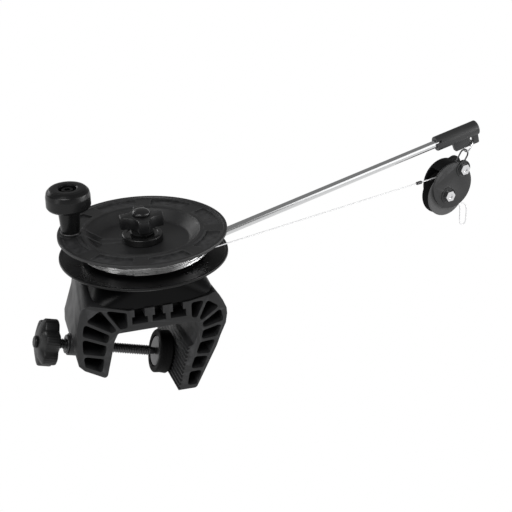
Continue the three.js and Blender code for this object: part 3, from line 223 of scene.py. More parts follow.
def dress(tree, shader, mask, height, dark, light, rough, strength, depth):
    # the mask spreads two colours and two roughnesses, and the height feeds the bump
    tint = colourMix(tree, mask, (*dark, 1), (*light, 1))
    bump = addNode(tree, "ShaderNodeBump", {"Strength": strength, "Distance": depth, "Height": height})
    feed(tree, shader, {"Base Color": tint, "Roughness": mapped(tree, mask, 0.3, 0.7, *rough), "Normal": bump})
    return tint


def mouldedPlastic(name, dark, light, rough, grainScale, grainDepth, edgeHighlightAmount, specular):
    tree, shader, place = newMaterial(name, 0.0, specular)
    grain = addNode(tree, "ShaderNodeGroup", {"Vector": place, "Grain Scale": grainScale}, node_tree=mouldGrain)
    edgeHighlightNode = addNode(tree, "ShaderNodeGroup", {"Vector": place, "Amount": edgeHighlightAmount}, node_tree=paintedEdgeHighlight)
    blotch, height = grain.outputs["Blotch"], grain.outputs["Height"]
    tint = dress(tree, shader, blotch, height, dark, light, rough, 0.5, grainDepth)
    # a much lighter colour on the convex edges: painted highlight
    edgeHighlightColour = (*(min(1, 5 * value + 0.02) for value in light), 1)
    feed(tree, shader, {"Base Color": colourMix(tree, edgeHighlightNode.outputs["Mask"], tint, edgeHighlightColour)})


def metal(name, dark, light, rough, turn, lineScale, stretch, lineDepth, metallic):
    tree, shader, place = newMaterial(name, metallic, 0.5)
    turned = addNode(tree, "ShaderNodeMapping", {"Vector": place, "Rotation": turn})
    values = {"Vector": turned, "Line Scale": lineScale, "Stretch": stretch}
    lines = addNode(tree, "ShaderNodeGroup", values, node_tree=drawnLinesAndGlints)
    dress(tree, shader, lines.outputs["Streak"], lines.outputs["Height"], dark, light, rough, 0.4, lineDepth)


def alongAxis(place):
    # the turn that lays a pattern's Z along a placed part's own axis
    return tuple(place.to_3x3().inverted().to_euler("XYZ"))


# name: dark and light colour, roughness, grain scale and depth (metres), painted edge highlight amount,
# specular level
plastics = {
    "satinBlack": ((0.012, 0.0122, 0.0128), (0.019, 0.0192, 0.02), (0.42, 0.54), 2600.0, 0.0001, 0.35, 0.42),
    # a little lighter than satinBlack: painted sheen on the flange's top ring
    "upperFlange": ((0.014, 0.0142, 0.0148), (0.022, 0.0222, 0.023), (0.4, 0.5), 2600.0, 0.0001, 0.35, 0.5),
    "smoothBlack": ((0.006, 0.0062, 0.0066), (0.011, 0.0112, 0.0118), (0.28, 0.4), 3200.0, 0.00005, 0.3, 0.5),
    "rimBlack": ((0.003, 0.0031, 0.0033), (0.005, 0.0051, 0.0054), (0.24, 0.34), 3000.0, 0.00004, 0.8, 0.26),
    # darker than satinBlack on the clamp: painted shade under the lower flange
    "hoodBlack": ((0.0025, 0.0026, 0.0028), (0.005, 0.0051, 0.0054), (0.28, 0.38), 3200.0, 0.00005, 0.3, 0.1),
    # darker than satinBlack: painted shade on the clamp knob and its cap
    "knobBlack": ((0.006, 0.0062, 0.0065), (0.012, 0.0122, 0.0127), (0.34, 0.46), 2800.0, 0.00007, 0.3, 0.3),
    "plateBlack": ((0.016, 0.0162, 0.017), (0.025, 0.0252, 0.026), (0.38, 0.5), 3000.0, 0.00006, 0.4, 0.5),
    # darker than plateBlack on the front plate: painted shade on the back plate and its guard wall
    "backPlate": ((0.003, 0.0031, 0.0033), (0.006, 0.0061, 0.0064), (0.42, 0.54), 3000.0, 0.00006, 0.3, 0.14),
    "sheaveDark": ((0.095, 0.0953, 0.096), (0.13, 0.1303, 0.131), (0.36, 0.48), 3000.0, 0.00005, 0.4, 0.2),
    "crankCap": ((0.004, 0.0041, 0.0044), (0.007, 0.0071, 0.0075), (0.24, 0.32), 2400.0, 0.00003, 0.2, 0.32),
    "tipCap": ((0.026, 0.0262, 0.027), (0.038, 0.0382, 0.039), (0.4, 0.52), 3000.0, 0.00006, 0.4, 0.5),
    "glossBlack": ((0.007, 0.007, 0.0074), (0.012, 0.012, 0.0125), (0.18, 0.28), 1500.0, 0.00002, 0.2, 0.5),
    "blackRubber": ((0.004, 0.004, 0.004), (0.008, 0.008, 0.008), (0.6, 0.78), 1800.0, 0.00015, 0.2, 0.12),
    "frictionLining": ((0.09, 0.06, 0.04), (0.16, 0.12, 0.09), (0.8, 0.95), 1400.0, 0.0003, 0.1, 0.2),
}
unturned, alongBoom, alongScrew = (0, 0, 0), alongAxis(boomPlace), alongAxis(screwPlace)
# name: dark and light colour, roughness, turn of the lines, their scale, stretch and depth (metres), metallic
metals = {
    "polishedRod": ((0.62, 0.625, 0.63), (0.94, 0.945, 0.95), (0.08, 0.16), alongBoom, 900, 0.004, 0.00002, 1),
    "brightSteel": ((0.78, 0.78, 0.79), (0.93, 0.93, 0.94), (0.16, 0.28), unturned, 1400.0, 0.4, 0.00002, 1.0),
    "darkSteel": ((0.05, 0.05, 0.052), (0.12, 0.12, 0.123), (0.28, 0.42), alongScrew, 1200, 0.5, 0.00003, 0.9),
    "blackOxideSteel": (
        (0.006, 0.006, 0.0063), (0.014, 0.014, 0.0145), (0.32, 0.46), unturned, 1200.0, 1.0, 0.00003, 0.8),
    "dullSteelPlate": (
        (0.035, 0.035, 0.036), (0.22, 0.22, 0.223), (0.3, 0.46), alongScrew, 800.0, 0.6, 0.00003, 0.9),
    "zincPlate": ((0.5, 0.51, 0.53), (0.68, 0.69, 0.7), (0.3, 0.45), unturned, 700.0, 1.0, 0.00003, 1.0),
    "bearingBronze": ((0.4, 0.26, 0.12), (0.56, 0.38, 0.18), (0.28, 0.45), unturned, 900.0, 1.0, 0.00003, 1.0),
    # streaks from near black to white along the turns: painted glints and painted shade between the turns
    "wireSteel": ((0.05, 0.05, 0.052), (1.0, 1.0, 1.0), (0.16, 0.3), unturned, 42.0, 44.0, 0.00002, 1.0),
    # near black core under the turns: painted shade in the gaps between them
    "buriedSteel": ((0.006, 0.006, 0.0063), (0.02, 0.02, 0.021), (0.4, 0.6), unturned, 300, 1, 0.0001, 1),
    # near white and barely metallic: painted reflection of the bright studio on the steel line
    "lineSteel": ((0.84, 0.84, 0.85), (0.98, 0.98, 0.99), (0.3, 0.45), unturned, 500.0, 1.0, 0.00005, 0.1),
}
for materialName, values in plastics.items():
    mouldedPlastic(materialName, *values)
for materialName, values in metals.items():
    metal(materialName, *values)


def paintShadeBeyondEdge(name, place, edge, softness, dark, rough):
    # beyond an edge along the placed part's own Y the finish is painted near black and dull: painted shade on
    # what lies past the edge, as in a groove
    tree = bpy.data.materials[name].node_tree
    shader = tree.nodes["Principled BSDF"]
    seat, back = addNode(tree, "ShaderNodeTexCoord").outputs["Object"], place.inverted()
    own = addNode(tree, "ShaderNodeMapping", {
        "Vector": seat, "Location": back.translation * milli, "Rotation": back.to_euler("XYZ")})
    depth = addNode(tree, "ShaderNodeSeparateXYZ", {"Vector": own}).outputs["Y"]
    share = mapped(tree, depth, (edge - softness) * milli, (edge + softness) * milli)
    tint, dullness = (shader.inputs[label].links[0].from_socket for label in ("Base Color", "Roughness"))
    feed(tree, shader, {
        "Base Color": colourMix(tree, share, tint, (*dark, 1)),
        "Roughness": addNode(tree, "ShaderNodeMix", {0: share, 2: dullness, 3: rough})})


# painted shade on the sheave's groove and back half
paintShadeBeyondEdge("sheaveDark", pulleyPlace, -4.4, 0.2, (0.004, 0.004, 0.0042), 0.85)
print("materials built")


# Mesh tools
def arc(centre, radius, first, sweep, steps):
    # points along a circle's arc, with its angles in degrees
    turns = [math.radians(first + sweep * step / steps) for step in range(steps + 1)]
    return [(centre[0] + radius * math.cos(turn), centre[1] + radius * math.sin(turn)) for turn in turns]


def softened(points, steps=4, loop=False):
    # each point is (x, y) or (x, y, radius); corners with a radius are rounded, within half of each side
    rounded, count, mostOfSide = [], len(points), 0.48
    for i, entry in enumerate(points):
        radius = entry[2] if len(entry) > 2 else 0
        if radius <= 0 or (not loop and i in (0, count - 1)):
            rounded.append((entry[0], entry[1]))
            continue
        here = Vector(entry[:2])
        back = Vector(points[i - 1][:2]) - here
        onward = Vector(points[(i + 1) % count][:2]) - here
        reach = radius / math.tan(back.angle(onward) / 2)
        start = here + back.normalized() * min(reach, mostOfSide * back.length)
        end = here + onward.normalized() * min(reach, mostOfSide * onward.length)
        for step in range(steps + 1):
            t = step / steps
            point = start * (1 - t) ** 2 + here * (2 * t * (1 - t)) + end * t ** 2
            rounded.append((point.x, point.y))
    return rounded


def shade(mesh, degrees=32):
    mesh.shade_smooth()
    mesh.set_sharp_from_angle(angle=math.radians(degrees))


def solidPiece(name, points, faces, place=None):
    mesh = bpy.data.meshes.new(name)
    place = place or Matrix()
    mesh.from_pydata([(place @ Vector(p)) * milli for p in points], [], faces)
    work = bmesh.new()
    work.from_mesh(mesh)
    bmesh.ops.remove_doubles(work, verts=work.verts, dist=1e-7)
    bmesh.ops.recalc_face_normals(work, faces=work.faces)
    work.to_mesh(mesh)
    work.free()
    piece = bpy.data.objects.new(name, mesh)
    scene.collection.objects.link(piece)
    shade(mesh)
    return piece


def turnedPiece(name, profile, place=None, sides=96, loop=False, steps=4):
    # a profile of radius and height, turned about Z
    points, faces, rings = [], [], []
    for radius, height in softened(profile, steps, loop):
        first, atAxis = len(points), radius < 1e-6
        if atAxis:
            points.append((0, 0, height))
        else:
            points += [(x, y, height) for x, y in arc((0, 0), radius, 0, 360, sides)[:-1]]
        rings.append([first] if atAxis else range(first, first + sides))
    for lower, upper in zip(rings, rings[1:] + rings[:1] if loop else rings[1:]):
        for side in range(sides):
            after = (side + 1) % sides
            if len(lower) == 1 and len(upper) == 1:
                break
            if len(lower) == 1:
                faces.append((lower[0], upper[side], upper[after]))
            elif len(upper) == 1:
                faces.append((lower[side], lower[after], upper[0]))
            else:
                faces.append((lower[side], lower[after], upper[after], upper[side]))
    return solidPiece(name, points, faces, place)


def cylinder(radius, low, high, place=None, sides=32):
    # a plain tool that cuts, joins or limits another piece
    return turnedPiece("tool", [(0, low), (radius, low), (radius, high), (0, high)], place, sides)


def ringedPiece(name, rows, place=None, loop=False):
    # rows of points, one ring after the other, closed at both ends or joined from the last to the first
    sides = len(rows[0])
    total = len(rows) * sides
    faces = []
    for start in range(0, total if loop else total - sides, sides):
        for side in range(sides):
            a, b = start + side, start + (side + 1) % sides
            faces.append((a, b, (b + sides) % total, (a + sides) % total))
    if not loop:
        faces += [tuple(range(sides)), tuple(range(total - sides, total))]
    return solidPiece(name, [point for row in rows for point in row], faces, place)


def wavyPiece(name, rows, sides, reachOf, place=None):
    # rows of radius, height and share, each radius shaped round the turn by reachOf
    rings = []
    for radius, height, share in rows:
        ring = []
        for side in range(sides):
            angle = 2 * math.pi * side / sides
            reach = reachOf(angle, radius, share)
            ring.append((reach * math.cos(angle), reach * math.sin(angle), height))
        rings.append(ring)
    return ringedPiece(name, rings, place)


def outlinePiece(name, outline, low, high, place=None, upright=False):
    # an outline pushed along Z from one height to another, or along Y where it stands upright
    count = len(outline)
    points = [(a, height, b) if upright else (a, b, height) for height in (low, high) for a, b in outline]
    faces = [tuple(range(count)), tuple(range(count, 2 * count))]
    for i in range(count):
        after = (i + 1) % count
        faces.append((i, after, count + after, count + i))
    return solidPiece(name, points, faces, place)


def evaluated(piece):
    # bakes the piece's modifiers into a plain mesh
    graph = bpy.context.evaluated_depsgraph_get()
    mesh = bpy.data.meshes.new_from_object(piece.evaluated_get(graph))
    piece.modifiers.clear()
    old = piece.data
    piece.data = mesh
    if old.users == 0:
        bpy.data.meshes.remove(old)
    return piece


def shaped(piece, tools, operation="DIFFERENCE", solver="MANIFOLD"):
    for tool in tools:
        step = piece.modifiers.new("cut", "BOOLEAN")
        step.operation, step.solver, step.object = operation, solver, tool
    evaluated(piece)
    for tool in tools:
        bpy.data.objects.remove(tool)
    return piece


def edged(piece, width, segments=2, degrees=40):
    merge = piece.modifiers.new("weld", "WELD")
    merge.merge_threshold = 1e-6
    step = piece.modifiers.new("edge", "BEVEL")
    step.width, step.segments, step.limit_method = width * milli, segments, "ANGLE"
    step.angle_limit = math.radians(degrees)
    step.use_clamp_overlap = True
    step.miter_outer = "MITER_ARC"
    evaluated(piece)
    shade(piece.data)
    return piece


def paint(piece, finishName):
    piece.data.materials.clear()
    piece.data.materials.append(bpy.data.materials[finishName])


def finish(piece, finishName, slotName, body, *replaced):
    paint(piece, finishName)
    if body:
        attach(piece, body)
    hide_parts(*replaced)
    return piece


# Node trees for wires and hexagon fasteners
def painted(tree, given, sink, shape):
    real = addNode(tree, "GeometryNodeRealizeInstances", {"Geometry": shape})
    done = addNode(tree, "GeometryNodeSetMaterial", {"Geometry": real, "Material": given["Finish"]})
    feed(tree, sink, {"Geometry": done})
    return tree


def wireTree():
    tree, given, sink = newTree("GeometryNodeTree", "wireOnPath", {
        "Geometry": ("Geometry", None), "Wire Radius": ("Float", 0.0006), "Sides": ("Int", 8),
        "Finish": ("Material", None)}, {"Geometry": "Geometry"})
    path = addNode(tree, "GeometryNodeMeshToCurve", {"Mesh": given["Geometry"]})
    section = addNode(tree, "GeometryNodeCurvePrimitiveCircle", {
        "Resolution": given["Sides"], "Radius": given["Wire Radius"]})
    wanted = {"Curve": path, "Profile Curve": section, "Fill Caps": True}
    tube = addNode(tree, "GeometryNodeCurveToMesh", wanted)
    return painted(tree, given, sink, tube)


def hexTree():
    # one hexagon head with crowned corners and a round dimple, set on every point it is given
    tree, given, sink = newTree("GeometryNodeTree", "hexagonHeads", {
        "Geometry": ("Geometry", None), "Across Flats": ("Float", 0.008), "Height": ("Float", 0.0034),
        "Dimple": ("Float", 0.0042), "Dimple Depth": ("Float", 0.001), "Turn": ("Rotation", None),
        "Finish": ("Material", None)}, {"Geometry": "Geometry"})

    def times(label, factor):
        return maths(tree, "MULTIPLY", given[label], factor)

    def raised(shape, height):
        place = addNode(tree, "ShaderNodeCombineXYZ", {"Z": height})
        return addNode(tree, "GeometryNodeTransform", {"Geometry": shape, "Translation": place})

    cornerShare, crownShare, crownSink = 0.5 / math.cos(math.radians(30)), 0.8, -0.13
    prism = addNode(tree, "GeometryNodeMeshCylinder", {
        "Vertices": 6, "Radius": times("Across Flats", cornerShare), "Depth": given["Height"]})
    crown = addNode(tree, "GeometryNodeMeshUVSphere", {
        "Segments": 48, "Rings": 32, "Radius": times("Across Flats", crownShare)})
    crownHeight = maths(tree, "SUBTRACT", times("Across Flats", crownSink), times("Height", 0.5))
    head = addNode(tree, "GeometryNodeMeshBoolean", {"Mesh 2": prism}, operation="INTERSECT", solver="EXACT")
    feed(tree, head, {"Mesh 2": raised(crown, crownHeight)})
    dimple = addNode(tree, "GeometryNodeMeshCylinder", {
        "Vertices": 32, "Radius": times("Dimple", 0.5), "Depth": times("Dimple Depth", 2.0)})
    cut = addNode(tree, "GeometryNodeMeshBoolean", {
        "Mesh 1": head, "Mesh 2": raised(dimple, times("Height", 0.5))}, operation="DIFFERENCE", solver="EXACT")
    spots = addNode(tree, "GeometryNodeMeshToPoints", {"Mesh": given["Geometry"]})
    heads = addNode(tree, "GeometryNodeInstanceOnPoints", {
        "Points": spots, "Instance": cut, "Rotation": given["Turn"]})
    return painted(tree, given, sink, heads)


wireOnPath = wireTree()
hexagonHeads = hexTree()


def grown(name, tree, points, edges, values):
    # runs a node tree over points and edges and returns the plain mesh object
    mesh = bpy.data.meshes.new(name)
    mesh.from_pydata([Vector(p) * milli for p in points], edges, [])
    piece = bpy.data.objects.new(name, mesh)
    scene.collection.objects.link(piece)
    step = piece.modifiers.new("grow", "NODES")
    step.node_group = tree
    sockets = {s.name: s.identifier for s in tree.interface.items_tree if s.in_out == "INPUT"}
    for label, value in values.items():
        step[sockets[label]] = value
    return evaluated(piece)


def wirePiece(name, paths, radius, finishName, sides, closedPaths=False):
    points, edges = [], []
    for path in paths:
        first = len(points)
        points.extend(path)
        edges.extend((first + i, first + i + 1) for i in range(len(path) - 1))
        if closedPaths:
            edges.append((len(points) - 1, first))
    values = {"Wire Radius": radius * milli, "Sides": sides, "Finish": bpy.data.materials[finishName]}
    piece = grown(name, wireOnPath, points, edges, values)
    shade(piece.data, 60)
    return piece


def smoothRoute(points, steps):
    # a centripetal curve through the points, evenly enough spaced for a tube
    points = [Vector(p) for p in points]
    ends = [2 * points[0] - points[1]] + points + [2 * points[-1] - points[-2]]
    route = []
    for i in range(1, len(ends) - 2):
        p0, p1, p2, p3 = ends[i - 1:i + 3]
        knots = [0.0]
        for a, b in ((p0, p1), (p1, p2), (p2, p3)):
            knots.append(knots[-1] + max((b - a).length, 1e-6) ** 0.5)
        for step in range(steps):
            t = knots[1] + (knots[2] - knots[1]) * step / steps
            shares = [(t - knots[k]) / (knots[k + 1] - knots[k]) for k in range(3)]
            a1, a2, a3 = p0.lerp(p1, shares[0]), p1.lerp(p2, shares[1]), p2.lerp(p3, shares[2])
            b1 = a1.lerp(a2, (t - knots[0]) / (knots[2] - knots[0]))
            b2 = a2.lerp(a3, (t - knots[1]) / (knots[3] - knots[1]))
            route.append(b1.lerp(b2, shares[1]))
    return route + [points[-1]]


# The line, from the coil over the pulley
lineSettings = Sizes(
    radius=0.6, sides=10, coilExit=59.9, startHeight=69.6, bentRadius=19.0, gap=0.3, spanSteps=48,
    bendStart=0.55, stopFromTouch=31.0, stopLength=7.5, stopRadius=1.7, stopBore=0.75, stopEnds=0.4,
    stopRings=3, stopRingStart=0.5,
    stopRing=((-0.35, 0.0, 0), (0.0, 0.4, 0.2), (0.0, 1.5, 0.2), (-0.35, 1.9, 0)),
    loopBack=15.0, loopWidth=7.6, loopOffset=6.5, loopDrop=42.7, loopHeight=28.5,
    strandGap=1.5, crimpLength=7.0, crimpWall=0.7, crimpPress=0.22, crimpRows=15,
)


def lineStations(size):
    # where the line leaves the coil, touches the sheave and hangs below it
    axleX, axleZ = stations.axle
    axle = pulleyPlace @ Vector((axleX, 0, axleZ))
    reach = math.hypot(axle.x, axle.y)
    heading = math.atan2(axle.y, axle.x) + math.asin(size.coilExit / reach)
    start = Vector((math.sin(heading), -math.cos(heading), 0)) * size.coilExit
    start.z = size.startHeight
    run = math.sqrt(reach ** 2 - size.coilExit ** 2)
    fall = math.atan2(size.startHeight - axle.z - size.bentRadius, run)
    touch = Vector((math.sin(fall), 0, math.cos(fall))) * size.bentRadius + Vector((axleX, 0, axleZ))
    back = (pulleyPlace.inverted() @ start - touch).normalized()
    return start, touch, back, math.degrees(fall)


def loopPath(size, touch, back, fall):
    half, bottom = size.loopWidth / 2, stations.axle[1] - size.loopDrop
    strand, crimpBottom = stations.axle[0] + size.bentRadius, bottom + size.loopHeight
    middle, twin, crimpTop = strand + size.loopOffset, strand + size.strandGap, crimpBottom + size.crimpLength
    neck, foot, bend, shoulder = crimpBottom - 2 * half, bottom + half, 0.7 * half, bottom + 0.3 * half
    flat = arc(stations.axle, size.bentRadius, 90 - fall, fall - 90, 8) + [
        (strand, crimpTop), (strand, crimpBottom - 1), (middle - half, neck), (middle - half, foot),
        (middle - bend, shoulder), (middle, bottom), (middle + bend, shoulder), (middle + half, foot),
        (middle + half, neck), (twin, crimpBottom - 1), (twin, crimpTop - size.gap)]
    ahead = [touch + back * (size.stopFromTouch - size.gap), touch + back * size.loopBack]
    return [pulleyPlace @ p * milli for p in smoothRoute(ahead + [Vector((x, 0, z)) for x, z in flat], 5)]


def lineWire(name, size, route, body, node):
    wire = wirePiece(name, [[p / milli for p in route]], size.radius, "lineSteel", size.sides)
    return finish(wire, "lineSteel", "steel_line", body, node)


def makeStop(size, foot, ahead):
    # a sleeve with rings round it, threaded on the line
    place = Matrix.Translation(foot) @ ahead.to_track_quat("Z", "Y").to_matrix().to_4x4()
    outer, length, ends = size.stopRadius, size.stopLength, size.stopRadius - size.stopEnds
    profile = [(size.stopBore, 0.1), (ends, 0.1, 0.2)]
    for ring in range(size.stopRings):
        low = size.stopRingStart + ring * (length - 2 * size.stopRingStart) / size.stopRings
        profile += [(outer + out, low + up, corner) for out, up, corner in size.stopRing]
    profile += [(ends, length, 0.2), (size.stopBore, length)]
    stop = turnedPiece("lineStop", profile, place, 32, loop=True, steps=2)
    return finish(stop, "darkSteel", "dark_steel", "pulley", "line_stop")


def makeCrimp(size):
    # a flattened sleeve, pressed twice, round both strands below the sheave
    half, inner = size.strandGap / 2, size.radius + size.gap
    middle = stations.axle[0] + size.bentRadius + half
    top = stations.axle[1] - size.loopDrop + size.loopHeight + size.crimpLength
    shares = [row / size.crimpRows for row in range(size.crimpRows + 1)]
    rows = [(inner + size.crimpWall - size.crimpPress * math.sin(2 * math.pi * share) ** 2,
             top - size.crimpLength * share) for share in shares]
    rows += [(inner, top - size.crimpLength), (inner, top)]
    rings = []
    for radius, height in rows:
        ring = arc((middle + half, 0), radius, -90, 180, 10) + arc((middle - half, 0), radius, 90, 180, 10)
        rings.append([(x, y, height) for x, y in ring])
    crimp = ringedPiece("loopCrimp", rings, pulleyPlace, loop=True)
    return finish(crimp, "darkSteel", "dark_steel", "pulley", "loop_crimp")


def makeLine(size):
    coilStart, touch, back, fall = lineStations(size)
    stopEnd = size.stopFromTouch + size.stopLength
    start = coilStart * milli
    end = pulleyPlace @ (touch + back * (stopEnd + size.gap)) * milli
    spanRoute = [start.lerp(end, i / size.spanSteps) for i in range(size.spanSteps + 1)]
    span = lineWire("lineSpan", size, spanRoute, None, "line_span")
    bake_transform(span)
    loopRoute = loopPath(size, touch, back, fall)
    loop = lineWire("lineLoop", size, loopRoute, "pulley", "line_loop")
    stop = makeStop(size, pulleyPlace @ (touch + back * stopEnd), (pulleyPlace.to_3x3() @ -back).normalized())
    crimp = makeCrimp(size)


makeLine(lineSettings)
print("line made")


# Clamp frame; the outlines and ribs are shares of its width and height
clampSettings = Sizes(
    width=146.0, height=104.0, halfDepth=50.0, seat=21.4, corner=3.0, shoulderCorner=8.0, shoulderFrom=21.0,
    ribThickness=2.6, cellCorner=2.9, pocketDepth=34.0, edge=0.55,
    legWidth=51.408, rearNarrowing=8.5, leanFrom=-22.0, leanRise=36.0, lean=8.5,
    jawReach=87.505, jawLow=-0.674, jawHigh=-0.25, ridgeCount=11, ridgeDepth=2.0, ridgeCorner=0.35,
    ridge=((0.0, 0.0), (0.12, 0.0), (0.38, 1.0), (0.62, 1.0), (0.88, 0.0)),
    slotHalf=26.0, slotDepth=14.5, slotLip=2.6, slotLipHeight=7.0, channelHalf=28.6,
    railHead=9.4, railHeadHeight=8.0, railStem=4.4, railSpacing=17.4,
    bossRadius=10.5, bossFace=-13.51, screwHole=7.3, screwHoleDepth=20.0, screwWay=5.4, screwWayEnd=44.0,
    footHole=2.8, footSink=5.0, footSinkDepth=3.6, footSpacing=48.0,
    leftOutline=[
        (-0.452, 0.317), (-0.507, 0.286), (-0.537, 0.111), (-0.548, -0.144), (-0.545, -0.262),
        (-0.507, -0.319), (-0.377, -0.423), (-0.36, -0.404), (-0.299, -0.066), (-0.274, 0)],
    rightOutline=[
        (0.211, -0.676), (0.225, -0.664), (0.371, -0.277), (0.4, -0.175), (0.437, -0.067),
        (0.449, 0.026), (0.447, 0.085), (0.424, 0.167), (0.384, 0.273), (0.334, 0.237)],
    recessOutline=[(0.214, -0.236), (0.245, -0.15), (0.252, -0.06), (0.237, -0.017), (0.2, 0)],
    leftRibs=[
        ((-0.2, 0.196), (-0.2, 0.026)), ((-0.377, 0.272), (-0.265, 0.024)), ((-0.497, 0.166), (-0.318, 0)),
        ((-0.517, 0.02), (-0.342, -0.099)), ((-0.519, -0.157), (-0.364, -0.222)),
        ((-0.511, -0.288), (-0.388, -0.385))],
    rightRibs=[
        ((0.206, 0.2), (0.204, 0.026)), ((0.318, 0.21), (0.254, 0.021)), ((0.416, 0.11), (0.274, -0.022)),
        ((0.433, -0.048), (0.276, -0.096)), ((0.38, -0.197), (0.255, -0.21)),
        ((0.325, -0.359), (0.214, -0.346)), ((0.279, -0.49), (0.173, -0.492)),
        ((0.23, -0.651), (0.148, -0.654))],
)


def clampPoint(share):
    return share[0] * clampSettings.width, share[1] * clampSettings.height


def jawFace(size):
    # the tilted jaw with its ridges, from the bottom up
    tilt = math.radians(stations.screwTilt)
    homeX, _, homeZ = stations.screwHome
    low, high = size.jawLow * size.height, size.jawHigh * size.height
    count = size.ridgeCount
    steps = [((i + share) / count, rise) for i in range(count) for share, rise in size.ridge]
    points = []
    for share, rise in steps + [(1, 0.0)]:
        height = low + (high - low) * share
        face = homeX + (size.jawReach + (height - homeZ) * math.sin(tilt)) / math.cos(tilt)
        points.append((face + size.ridgeDepth * rise, height, size.ridgeCorner))
    return points


def insetOutline(points, distance):
    # moves the sides of a convex outline inwards
    onward = points[1:] + points[:1]
    turn = math.copysign(1, sum(x * nextZ - nextX * z for (x, z), (nextX, nextZ) in zip(points, onward)))
    sides, moved = [], []
    for (x, z), (nextX, nextZ) in zip(points, onward):
        length = math.hypot(nextX - x, nextZ - z)
        normal = (-turn * (nextZ - z) / length, turn * (nextX - x) / length)
        sides.append((normal, normal[0] * x + normal[1] * z + distance))
    for i, (normal, offset) in enumerate(sides):
        other, otherOffset = sides[i - 1]
        cross = other[0] * normal[1] - other[1] * normal[0]
        moved.append(((otherOffset * normal[1] - offset * other[1]) / cross,
                      (other[0] * offset - normal[0] * otherOffset) / cross))
    return moved


def ribCells(size):
    cells = []
    for ribs in (size.leftRibs, size.rightRibs):
        for (outer, inner), (nextOuter, nextInner) in zip(ribs, ribs[1:]):
            corners = [clampPoint(p) for p in (outer, nextOuter, nextInner, inner)]
            moved = insetOutline(corners, size.ribThickness / 2)
            cells.append(softened([(*p, size.cellCorner) for p in moved], 5, loop=True))
    return cells


def slotProfile(size, gap, top):
    floor, shoulder = size.seat - size.slotDepth + gap, size.seat - size.slotLipHeight - gap
    half = size.slotHalf - gap
    mouth = half - size.slotLip
    return [(-half, floor), (half, floor), (half, shoulder), (mouth, shoulder),
            (mouth, top), (-mouth, top), (-mouth, shoulder), (-half, shoulder)]


def railTools(size, gap, top, bottom):
    head, stem = size.railHead / 2 + gap, size.railStem / 2 + gap
    neck, tools = size.seat - size.railHeadHeight - gap, []
    for middle in (-size.railSpacing / 2, size.railSpacing / 2):
        profile = [
            (middle - stem, bottom), (middle + stem, bottom), (middle + stem, neck), (middle + head, neck),
            (middle + head, top), (middle - head, top), (middle - head, neck), (middle - stem, neck)]
        tools.append(outlinePiece("rail", profile, -size.halfDepth, size.halfDepth, upright=True))
    return tools


def clampOutline(size):
    parts = []
    for shares in (size.leftOutline[::-1], size.rightOutline[::-1], size.recessOutline):
        corners = [clampPoint(p) for p in shares]
        parts.append([
            (x, z, size.corner if z < size.shoulderFrom else size.shoulderCorner) for x, z in corners])
    mouth = [(-size.channelHalf, size.seat), (size.channelHalf, size.seat)]
    return softened(parts[0] + mouth + parts[1] + jawFace(size) + parts[2], 4, loop=True)


def narrowed(piece, size):
    # both legs get narrower towards the rear, while the channel between them stays straight
    for vertex in piece.data.vertices:
        x, y, z = (side / milli for side in vertex.co)
        beyond = abs(x) - size.channelHalf
        if beyond > 0:
            narrowing = size.rearNarrowing
            if x < 0:
                rise = min(1, max(0, (z - size.leanFrom) / size.leanRise))
                narrowing += size.lean * rise * rise * (3 - 2 * rise)
            rear = y / (2 * size.halfDepth) + 0.5
            kept = size.channelHalf + beyond * (1 - narrowing / size.legWidth * rear)
            vertex.co.x = math.copysign(kept, x) * milli
    return piece


def makeClamp(size):
    depth, front = size.halfDepth, -size.bossFace
    clamp = outlinePiece("clampFrame", clampOutline(size), -depth, depth, upright=True)
    pockets = ((-depth - overrun, size.pocketDepth - depth), (depth - size.pocketDepth, depth + overrun))
    cells = ribCells(size)
    shaped(clamp, [outlinePiece("cell", cell, *ends, upright=True) for cell in cells for ends in pockets])
    narrowed(clamp, size)
    slot = slotProfile(size, 0, size.seat + 2 * overrun)
    shaped(clamp, [outlinePiece("slot", slot, -depth - overrun, depth + overrun, upright=True)])
    floor = size.seat - size.slotDepth
    shaped(clamp, railTools(size, 0, size.seat, floor - 1), "UNION")
    shaped(clamp, [cylinder(size.bossRadius, -front, 0, screwPlace, 64)], "UNION")
    step = size.screwHoleDepth - front
    tools = [turnedPiece("screwWay", [
        (0, -front - overrun), (size.screwHole, -front - overrun), (size.screwHole, step),
        (size.screwWay, step), (size.screwWay, size.screwWayEnd), (0, size.screwWayEnd)], screwPlace, 48)]
    sunk = [(0, -overrun), (size.footSink, -overrun), (size.footSink, size.footSinkDepth),
            (size.footHole, size.footSinkDepth), (size.footHole, floor + overrun), (0, floor + overrun)]
    for place in (-size.footSpacing / 2, size.footSpacing / 2):
        tools.append(turnedPiece("footHole", sunk, shift(0, place, 0), 32))
    shaped(clamp, tools)
    edged(clamp, size.edge)
    finish(clamp, "satinBlack", "black_plastic", "frame", "clamp_frame")


makeClamp(clampSettings)
print("clamp made")


# Reel base on the clamp's rails
baseSettings = Sizes(
    length=126.0, width=97.0, shift=-5.0, topDiameter=96.0, top=47.2, gap=0.3, rows=24, sides=112,
    footPower=0.2, easing=1.4, footHalf=34.0, edge=0.5,
    bossRadius=9.5, bossEnd=80.0, bossCorner=1.2, boomStart=15.0, boomHole=4.3, boomHoleEnd=90.0,
    boltHole=2.3, boltSpot=4.1, boltSeat=6.7, boltReach=24.0,
    spindleHole=5.3, spindleHoleTop=60.0, headPocket=10.16, headPocketTop=29.0,
)


